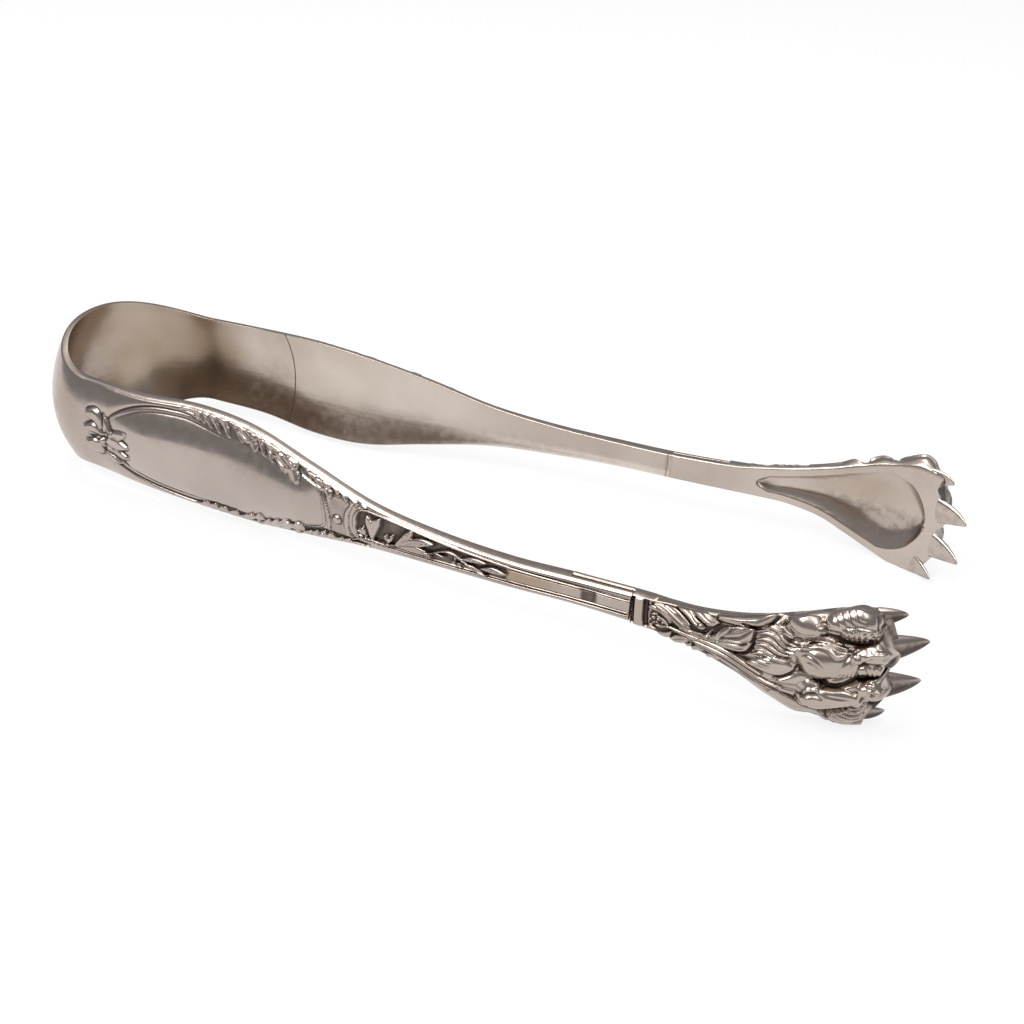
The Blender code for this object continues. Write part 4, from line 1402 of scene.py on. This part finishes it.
# Strands between the scroll and the toes, and the locks at the lower edge.
FUR: tuple[Stroke, ...] = (
    *locks(((130.4, 5.6), (131.6, 6.15), (132.7, 6.1), (133.6, 5.4), (134.6, 4.9), (135.6, 5.0)),
        ((130.3, 2.9), (131.3, 3.2), (132.3, 3.0), (133.2, 2.7), (134.0, 2.6), (134.8, 2.75)), 5,
        0.52, 0.24),
    Stroke(((130.1, 2.1), (130.9, 2.7), (131.9, 2.95)), 0.46, 0.30, Kind.STRAND),
    Stroke(((133.4, -2.6), (135.2, -3.6), (137.6, -4.3)), 1.25, 0.46, swell=0.6, start=0.2,
        end=0.3),
    Stroke(((137.6, -4.6), (139.2, -5.1), (140.8, -5.7)), 1.1, 0.46, swell=0.6, start=0.2,
        end=0.2),
    groove(((134.6, -2.75), (136.0, -3.3), (136.9, -3.9)), 0.40, 0.3),
    groove(((136.2, -2.1), (137.5, -1.45), (138.4, -0.95), (139.3, -1.0)), 0.30, 0.12, edge=0.5),
    groove(((140.0, -0.95), (142.0, -1.0), (143.5, -0.9)), 0.26, 0.16),
    groove(((136.0, 2.6), (135.8, 1.5), (135.1, 0.5), (134.0, -0.2), (133.4, -0.4)), 0.34, 0.26),
    *locks(((130.6, 2.15), (131.6, 2.3), (132.6, 2.35)), ((130.2, 0.9), (131.6, 1.1),
        (132.9, 1.2)), 4, 0.20, 0.13, Kind.GROOVE, 0.6),
    *locks(((132.8, -0.9), (134.4, -0.9), (136.0, -1.3)), ((134.2, -1.5), (135.4, -1.8),
        (136.4, -2.0)), 3, 0.20, 0.10, Kind.GROOVE, 0.5),
)

# Folds over the knuckles, striations down the toes and their ringed cuffs.
TOE_STROKES: tuple[Stroke, ...] = (
    *locks(((133.0, 6.4), (134.1, 5.85), (135.5, 5.75), (136.8, 6.0), (137.6, 6.6), (138.0, 7.4)),
        ((133.6, 7.6), (134.4, 7.1), (135.4, 6.95), (136.4, 7.0), (137.1, 7.3), (137.4, 7.9)), 4,
        0.28, 0.12, Kind.GROOVE, 0.45),
    Stroke(((137.3, 8.3), (137.9, 8.7), (138.6, 8.3), (138.9, 7.6)), 0.42, 0.26, Kind.STRAND),
    groove(((137.9, 7.5), (138.4, 7.1)), 0.8, 0.3, start=0.6, end=0.6),
    *locks(((138.6, 9.9), (139.4, 9.2), (140.4, 8.8), (141.6, 8.95), (142.4, 9.3)),
        ((140.8, 10.6), (141.2, 10.1), (141.8, 9.8), (142.5, 9.8), (143.0, 10.0)), 4, 0.26, 0.08,
        Kind.GROOVE, 0.3),
    groove(((143.3, 10.8), (143.9, 9.5), (144.2, 8.6)), 0.34, 0.24),
    *locks(((140.9, 8.9), (140.8, 8.1), (141.1, 7.3)), ((144.6, 9.1), (144.4, 8.4), (144.3, 7.6)),
        7, 0.42, 0.20, edge=0.4),
    groove(((139.0, 7.0), (141.0, 6.8), (143.0, 7.1), (144.8, 7.8)), 0.45, 0.24, edge=0.75),
    *locks(((136.0, 5.6), (137.2, 6.2), (138.5, 6.75), (139.8, 6.5), (141.2, 6.6), (142.9, 6.9)),
        ((135.3, 4.6), (136.6, 4.9), (138.0, 5.5), (139.3, 5.5), (140.4, 5.15), (141.9, 5.9)), 4,
        0.44, 0.20),
    *locks(((145.9, 6.6), (144.2, 6.1), (143.2, 5.2), (142.7, 4.0), (142.5, 2.9), (142.3, 2.3)),
        ((143.4, 6.6), (142.2, 5.6), (141.6, 4.7), (141.1, 3.7), (140.7, 3.0), (140.1, 2.4)), 5,
        0.44, 0.18, edge=0.45),
    *locks(((136.2, 3.8), (137.2, 4.5), (138.3, 4.2), (139.2, 3.5)), ((137.0, 3.6), (137.6, 3.9),
        (138.2, 3.7), (138.6, 3.3)), 2, 0.26, 0.14, Kind.GROOVE, 0.5),
    groove(((136.0, 1.3), (137.5, 1.2), (138.6, 0.7), (139.5, 0.4), (140.5, 0.3), (141.5, 0.6),
        (142.6, 1.3), (143.5, 2.0), (145.0, 2.4), (146.0, 2.7)), 0.42, 0.30, edge=0.9),
    groove(((143.0, 3.3), (143.1, 4.3), (143.8, 4.9), (145.0, 5.0), (145.9, 4.5)), 0.34, 0.12,
        edge=0.45),
    *locks(((143.6, 4.7), (143.8, 3.9), (144.1, 3.0)), ((145.5, 4.6), (145.5, 3.8), (145.6, 2.9)),
        4, 0.40, 0.18),
    *locks(((143.4, 6.7), (144.2, 7.3), (145.2, 7.4)), ((144.9, 5.4), (145.6, 5.8), (146.4, 6.1)),
        4, 0.30, 0.10, edge=0.35),
    *locks(((145.2, 1.0), (144.9, 0.0), (144.2, -1.1), (143.3, -2.2), (142.2, -3.2),
        (141.0, -3.8)), ((147.6, 1.6), (146.4, 0.9), (145.4, -0.2), (144.9, -1.2), (144.4, -2.0),
        (143.9, -2.6)), 4, 0.50, 0.22),
    *locks(((144.3, 2.0), (145.2, 2.3), (146.2, 2.1), (146.9, 1.6)), ((143.9, 0.5), (145.2, 0.6),
        (146.2, 0.7), (146.9, 0.9)), 4, 0.30, 0.12, edge=0.4),
    groove(((137.6, -3.9), (140.0, -4.2), (142.0, -3.7), (143.2, -2.6)), 0.42, 0.28),
    *locks(((142.6, -3.0), (143.0, -3.5), (143.7, -3.6), (144.4, -3.2), (144.7, -2.6)),
        ((140.3, -4.4), (141.4, -5.4), (142.9, -6.1), (144.3, -5.6), (145.4, -4.2)), 5, 0.46,
        0.22),
    groove(((143.9, -2.6), (143.4, -2.8)), 0.9, 0.36, start=0.6, end=0.6),
)


@dataclass
class PawRelief:
    """The modelling on the paw's back: collar, acanthus, scroll, fur and toes."""
    toes: tuple[Toe, ...]

    def apply(self, relief: Relief) -> None:
        """Work the whole paw's modelling into a relief over along and up.

        Args:
            relief: The field that is worked.
        """
        self._ground(relief)
        self._masses(relief)
        self._clefts(relief)
        self._neck(relief)
        self._acanthus(relief)
        self._fur(relief)
        self._toes(relief)
        self._collar(relief)

    def _collar(self, relief: Relief) -> None:
        """A plain band between two dark grooves, a little aslant.

        Args:
            relief: The field that is worked.
        """
        at = relief.x + 0.06 * (relief.y - 2.0)
        band = plateau(at, 112.75, 112.95, 114.1, 114.3)
        whole = plateau(at, 112.2, 112.4, 114.75, 115.0)
        sunk, clear = whole * (1 - band), 1 - whole
        relief.height = relief.height * clear + 0.26 * band - 0.42 * sunk
        relief.dark = np.maximum(relief.dark * clear, sunk)

    def _ground(self, relief: Relief) -> None:
        """The dark ground of the neck, stippled next to the collar.

        Args:
            relief: The field that is worked.
        """
        reach = plateau(relief.x, 114.9, 115.3, 128.5, 131.0)
        relief.height -= 0.10 * reach
        relief.darken(0.95 * reach)
        random = np.random.default_rng(7)
        for x, share in zip(random.uniform(115.3, 117.7, 40), random.uniform(-1, 1, 40)):
            reach = 1.6 * (118.6 - x) / 3.3
            relief.draw(bead(x, 0.45 + reach * share, 0.34, 0.16, cut=0.03, edge=0.6))

    def _masses(self, relief: Relief) -> None:
        """The broad forms that everything else lies on, and the soft valleys between them.

        Args:
            relief: The field that is worked.
        """
        for points, width, height, swell, start, end in MASSES:
            relief.draw(Stroke(points, width, height, Kind.PILLOW, swell=swell, start=start,
                               end=end, cut=0.12))
        for points, width, deep, edge in VALLEYS:
            relief.draw(Stroke(points, width, deep, Kind.VALLEY, swell=0.5, start=0.5, end=0.5,
                               edge=edge))

    def _clefts(self, relief: Relief) -> None:
        """Painted shade on the front between the toes' tips.

        Args:
            relief: The field that is worked.
        """
        reach = smooth_step(relief.x, 144.2, 145.6)
        for toe in self.toes:
            away = np.hypot(relief.x - toe.cuff[0], relief.y - toe.cuff[2]) / toe.radius
            reach = reach * smooth_step(away, 0.80, 1.02)
        # Painted shade where the front between the toes would lie in shadow.
        relief.darken(0.9 * reach)

    def _neck(self, relief: Relief) -> None:
        """Fluted tongues over and under the stem, and the ribs that fan out of it.

        Args:
            relief: The field that is worked.
        """
        for points, width, height, swell, start, end, lines in TONGUES:
            relief.draw(Stroke(points, width, height, swell=swell, start=start, end=end,
                               lines=lines, edge=0.95))
        relief.draw(bead(122.85, 2.85, 0.8, 0.6))
        for points, width in RIBS:
            relief.draw(Stroke(points, width, 0.46, Kind.RIDGE, swell=0.4, start=0.5, end=0.3))
        relief.draw(Stroke(((119.8, 1.1), (121.8, 1.35), (124.0, 1.7), (126.8, 2.4), (128.8, 3.2)),
                           0.9, 0.44, swell=0.5, start=0.3, end=0.2, lines=2))

    def _acanthus(self, relief: Relief) -> None:
        """The large curled leaf above the ribs and the winged scroll over it.

        Args:
            relief: The field that is worked.
        """
        for points, width, height, swell, start, end, lines in ACANTHUS:
            relief.draw(Stroke(points, width, height, swell=swell, start=start, end=end,
                               lines=lines))
        relief.draw(bead(132.2, 7.9, 1.15, 0.68))
        for points, width, deep in ACANTHUS_CUTS:
            relief.draw(groove(points, width, deep, start=0.4, end=0.4))

    def _fur(self, relief: Relief) -> None:
        """Wavy strands between the scroll and the toes, and the locks at the lower edge."""
        relief.draw(*FUR)

    def _toes(self, relief: Relief) -> None:
        """Folds over the knuckles, striations down the toes and the ringed cuffs."""
        relief.draw(*TOE_STROKES)


@dataclass
class Paw:
    """A cast paw: tongue behind the arm, collar, modelled back, hollow and claws."""
    side: Side
    start: float = 103.07
    step: float = 112.42
    form: PawForm = field(default_factory=PawForm)
    strip: Strip = field(default_factory=Strip)
    outer_lines: int = 222
    inner_lines: int = 46
    tongue_columns: int = 16
    columns: int = 316
    edge_round: float = 0.18
    claw_rings: int = 17
    claw_lines: int = 24
    claw_tip: float = 0.10
    claw_root: float = 0.14

    def build(self, finish: bpy.types.Material) -> bpy.types.Object:
        """The paw, riding on its side of the tongs.

        Args:
            finish: The silver it is cast in.

        Returns:
            The finished piece.
        """
        points, marks = self._net()
        piece = tube(f"{self.side.word}_paw_cast", LAY.place(self.side, points), marks)
        self._add_claws(piece)
        piece.data.materials.append(finish)
        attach(piece, f"{self.side.word}_side")
        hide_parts(f"{self.side.word}_paw")
        return piece

    def _net(self) -> tuple[np.ndarray, dict[str, np.ndarray]]:
        """The paw's skin as a net of columns by lines.

        Returns:
            Points along, across and up, and the marks for the finish.
        """
        first, last = self.form.front_from, self.form.front_to
        stops = np.concatenate([np.linspace(self.start, self.step - 0.04, self.tongue_columns),
                                np.linspace(self.step, last, self.columns)])
        u = np.linspace(-1, 1, self.outer_lines)
        outer = 0.55 * np.sin(u * np.pi / 2) + 0.45 * u
        line = np.concatenate([outer, np.linspace(1, -1, self.inner_lines)])
        along = np.repeat(stops[:, None], len(line), 1)
        front = Curve(self.form.front_up, self.form.front_along).at(self._height(along, line))
        reach = smooth_step(along, first, last)
        along = along + (front - last) * reach * np.clip((along - first) / (last - first), 0, 1)
        height, n = self._height(along, line), self.outer_lines
        skin, marks = self._back(stops, outer, along[:, :n], height[:, :n])
        face, inner = self._inside(along[:, n:], height[:, n:])
        return (np.concatenate([skin, face], 1),
                {name: np.concatenate([marks[name], inner[name]], 1) for name in marks})

    def _back(self, stops: np.ndarray, outer: np.ndarray, x: np.ndarray,
              z: np.ndarray) -> tuple[np.ndarray, dict[str, np.ndarray]]:
        """The modelled back, and the tongue that the arm laps over.

        Args:
            stops: The columns' places before the front was shaped.
            outer: The lines, from -1 at the lower edge to 1.
            x: Places along, columns by lines.
            z: Heights, columns by lines.

        Returns:
            Points along, across and up, and the marks for the finish.
        """
        form = self.form
        relief = Relief(x, z)
        PawRelief(form.toes).apply(relief)
        relief.settle()
        skin = np.stack([x, form.back(x, z, outer[None, :] + 0 * x), z], -1)
        tongue = x < self.step - 0.02
        cover = self.strip.size("spacing", x) / 2 - 0.10
        cover = cover + self.strip.size("camber", x) * (1 - outer ** 2)
        skin[..., 1] = np.where(tongue, cover, skin[..., 1])
        normal = np.cross(np.gradient(skin, axis=1), np.gradient(skin, axis=0))
        normal /= np.maximum(np.linalg.norm(normal, axis=-1, keepdims=True), 1e-9)
        normal *= np.sign(normal[:, len(outer) // 2, 1])[:, None, None]
        half = (z[:, -1:] - z[:, :1]) / 2
        margin = 0.28 + 0.5 * smooth_step(x, 143.5, 147.0)
        fade = smooth_step((1 - np.abs(outer)) * half, 0.04, margin)
        front = 1 - smooth_step(stops, 146.4, 147.4)[:, None]
        skin = skin + normal * np.where(tongue, 0, relief.height * fade * front)[..., None]
        skin[..., 2] += Curve(form.bump_at, form.bump).at(x) * smooth_step(outer, 0.8, 1.0)
        skin[..., 2] += Curve(form.dip_at, form.dip).at(x) * smooth_step(-outer, 0.7, 1.0)
        return skin, {"patina": np.where(tongue, 0, relief.patina() * fade),
                      "tarnish": np.full_like(x, 0.10), "painted_sheen": np.zeros_like(x)}

    def _inside(self, x: np.ndarray, z: np.ndarray) -> tuple[np.ndarray, dict[str, np.ndarray]]:
        """The flat inner face with its hollow, stained towards the top, with painted shade over the hollow's
        lower part.

        Args:
            x: Places along, columns by lines.
            z: Heights, columns by lines.

        Returns:
            Points along, across and up, and the marks for the finish.
        """
        form = self.form
        depth = form.hollow(x, z)
        face = np.stack([x, form.size("rim", x) + depth, z], -1)
        for edge in (0, -1):
            face[:, edge, 1] += self.edge_round
        up = z - (form.size("top", x) + form.size("bottom", x)) / 2
        stain = 0.12 + 0.60 * smooth_step(depth, 0.2, 1.6) * smooth_step(up, -1.6, 0.8)
        spot = bell(x, 118.8, 1.2) * bell(z, 0.6, 0.7)
        stain = stain + spot + bell(x, self.start + 0.13, 0.15)
        # Painted shade: the lower part of the hollow is greyed and darkened.
        grey = 0.34 * smooth_step(depth, 0.4, 1.8) * (1 - smooth_step(up, -2.2, 1.2))
        # Painted sheen: the whole inner face is made a little lighter.
        return face, {"patina": grey + 0.40 * spot, "tarnish": np.clip(stain, 0, 1),
                      "painted_sheen": np.full_like(x, 0.15)}

    def _height(self, along: np.ndarray, line: np.ndarray) -> np.ndarray:
        """Heights of the lines between the paw's lower and upper edges."""
        top, bottom = self.form.size("top", along), self.form.size("bottom", along)
        return (top + bottom) / 2 + line * (top - bottom) / 2

    def _add_claws(self, piece: bpy.types.Object) -> None:
        """Add the four hooked claws to the paw's mesh, flat inside, with painted shade underneath and
        lighter towards the top.

        Args:
            piece: The paw, whose mesh is changed.
        """
        body = bmesh.new()
        body.from_mesh(piece.data)
        patina = body.verts.layers.float["patina"]
        inward = Vector((0, -self.side.value, 0))
        for toe in self.form.toes:
            root, bend, tip = (Vector(LAY.place(self.side, np.array(spot))) for spot in toe.claw)
            rings = []
            for k in range(self.claw_rings):
                t = self.claw_root + (1 - self.claw_root) * k / (self.claw_rings - 1)
                centre = root * (1 - t) ** 2 + bend * 2 * t * (1 - t) + tip * t ** 2
                heading = ((bend - root) * (1 - t) + (tip - bend) * t).normalized()
                thick = self.claw_tip + (toe.claw_radius - self.claw_tip) * (1 - t) ** 0.78
                radius = thick / 1000
                upright = (Vector((0, 0, 1)) - heading * heading.z).normalized()
                flat = upright.cross(heading)
                turn = Matrix((flat * 0.6, upright * 1.15, heading)).transposed().to_4x4()
                ring = bmesh.ops.create_circle(body, segments=self.claw_lines, radius=radius,
                                               matrix=Matrix.Translation(centre) @ turn)
                for vert in ring["verts"]:
                    offset = vert.co - centre
                    inside = offset.dot(inward) - 0.15 * radius
                    if inside > 0:
                        vert.co -= inward * inside * 0.85
                    rise = offset.dot(upright) / radius
                    # Painted shade: each claw is darkened underneath and left lighter towards its top.
                    vert[patina] = min(0.85, 0.72 - 0.72 * rise) if inside <= 0 else 0.15
                rings.append({edge for vert in ring["verts"] for edge in vert.link_edges})
            for first, second in zip(rings, rings[1:]):
                bmesh.ops.bridge_loops(body, edges=[*first, *second])
            bmesh.ops.holes_fill(body, edges=[*rings[0], *rings[-1]],
                                 sides=self.claw_lines)
        bmesh.ops.recalc_face_normals(body, faces=body.faces[:])
        shade(body, piece.data)


@dataclass
class Studio:
    """A white table, a soft grey room and the camera at the photograph's angle.

    Whiteness is the share of the table that shines by itself to the eye and in reflections, and
    brightness is how strong the room's light is.
    """
    eye: tuple[float, float, float] = (0.081684, -0.151787, 0.100515)
    back: tuple[float, float, float] = (0.369445, -0.786436, 0.495003)
    right: tuple[float, float, float] = (0.899267, 0.436806, 0.022808)
    lens: float = 42.272
    table_radius: float = 4.0
    whiteness: float = 0.82
    brightness: float = 0.95

    def build(self) -> None:
        """Put up the table, the light and the camera."""
        self._table()
        self._room()
        self._lamps()
        self._camera()

    def _table(self) -> None:
        """The pale table, white to the eye and to reflections, which keeps the shadow."""
        body = bmesh.new()
        bmesh.ops.create_circle(body, cap_ends=True, segments=64, radius=self.table_radius)
        mesh = bpy.data.meshes.new("table")
        body.to_mesh(mesh)
        body.free()
        table = bpy.data.objects.new("table", mesh)
        bpy.context.collection.objects.link(table)
        material = bpy.data.materials.new("table_white")
        material.use_nodes = True
        nodes = material.node_tree.nodes
        nodes.remove(nodes["Principled BSDF"])
        kit = NodeKit(material.node_tree)
        matt, glow, mixed = (kit.add(kind) for kind in ("BsdfDiffuse", "Emission", "MixShader"))
        matt.inputs["Color"].default_value = (0.92, 0.92, 0.92, 1)
        glow.inputs["Color"].default_value = (1, 1, 1, 1)
        path = kit.add("LightPath").outputs
        seen = kit.maths("MAXIMUM", path["Is Camera Ray"], path["Is Glossy Ray"])
        seen = kit.maths("MAXIMUM", seen, path["Is Transmission Ray"])
        kit.join(kit.maths("MULTIPLY", seen, self.whiteness), mixed.inputs["Fac"])
        kit.join(matt.outputs[0], mixed.inputs[1])
        kit.join(glow.outputs[0], mixed.inputs[2])
        kit.join(mixed.outputs[0], nodes["Material Output"].inputs["Surface"])
        mesh.materials.append(material)

    def _room(self) -> None:
        """A room that is grey at the table's level and bright overhead."""
        world = bpy.data.worlds.new("room")
        bpy.context.scene.world = world
        world.use_nodes = True
        kit, backdrop = NodeKit(world.node_tree), world.node_tree.nodes["Background"].inputs
        place, split, ramp = (kit.add(kind) for kind in ("TexCoord", "SeparateXYZ", "ValToRGB"))
        kit.join(place.outputs["Generated"], split.inputs[0])
        first, last = ramp.color_ramp.elements
        first.position, first.color = 0.0, (0.37, 0.38, 0.41, 1)
        last.position, last.color = 0.88, (1.0, 1.0, 1.0, 1)
        for height, grey in ((0.30, 0.32), (0.55, 0.36), (0.72, 0.75)):
            ramp.color_ramp.elements.new(height).color = (grey, grey, grey * 1.02, 1)
        kit.join(split.outputs["Z"], ramp.inputs["Fac"])
        kit.join(ramp.outputs["Color"], backdrop["Color"])
        backdrop["Strength"].default_value = self.brightness

    def _lamps(self) -> None:
        """Two soft boxes and a small one for the bright edges."""
        for name, spot, size, power in (("key", (-0.35, -0.45, 0.75), 0.5, 5.0),
                                        ("fill", (0.40, -0.30, 0.80), 0.5, 1.6),
                                        ("rim", (-0.10, 0.20, 0.85), 0.4, 2.2)):
            lamp = bpy.data.lights.new(name, "AREA")
            lamp.size = size
            lamp.energy = power
            item = bpy.data.objects.new(name, lamp)
            item.location = spot
            item.rotation_euler = (-Vector(spot)).to_track_quat("-Z", "Y").to_euler()
            bpy.context.collection.objects.link(item)

    def _camera(self) -> None:
        """The camera at the photograph's angle."""
        back, right = Vector(self.back).normalized(), Vector(self.right).normalized()
        up = back.cross(right)
        data = bpy.data.cameras.new("camera")
        data.lens, data.sensor_width = self.lens, 36.0
        data.clip_start = 0.005
        camera = bpy.data.objects.new("camera", data)
        turn = Matrix((right, up, back)).transposed().to_4x4()
        camera.matrix_world = Matrix.Translation(self.eye) @ turn
        bpy.context.collection.objects.link(camera)
        bpy.context.scene.camera = camera
        bpy.context.scene.view_settings.view_transform = "Standard"


def main() -> None:
    """Build every piece, report it, and put up the studio."""
    logging.basicConfig(level=logging.INFO, format="%(message)s")
    bow_silver = SilverFinish("aged_bow_silver").build()
    arm_silver = SilverFinish("chased_arm_silver").build()
    paw_silver = SilverFinish("cast_paw_silver", (0.52, 0.445, 0.395), (0.42, 0.355, 0.31),
                              grain=0.12, soot=0.18).build()
    for side in Side:
        for maker, finish in ((BowHalf(side), bow_silver), (Arm(side), arm_silver),
                              (Paw(side), paw_silver)):
            piece = maker.build(finish)
            LOG.info("%s: %d faces", piece.name, len(piece.data.polygons))
    Studio().build()


if __name__ == "__main__":
    main()
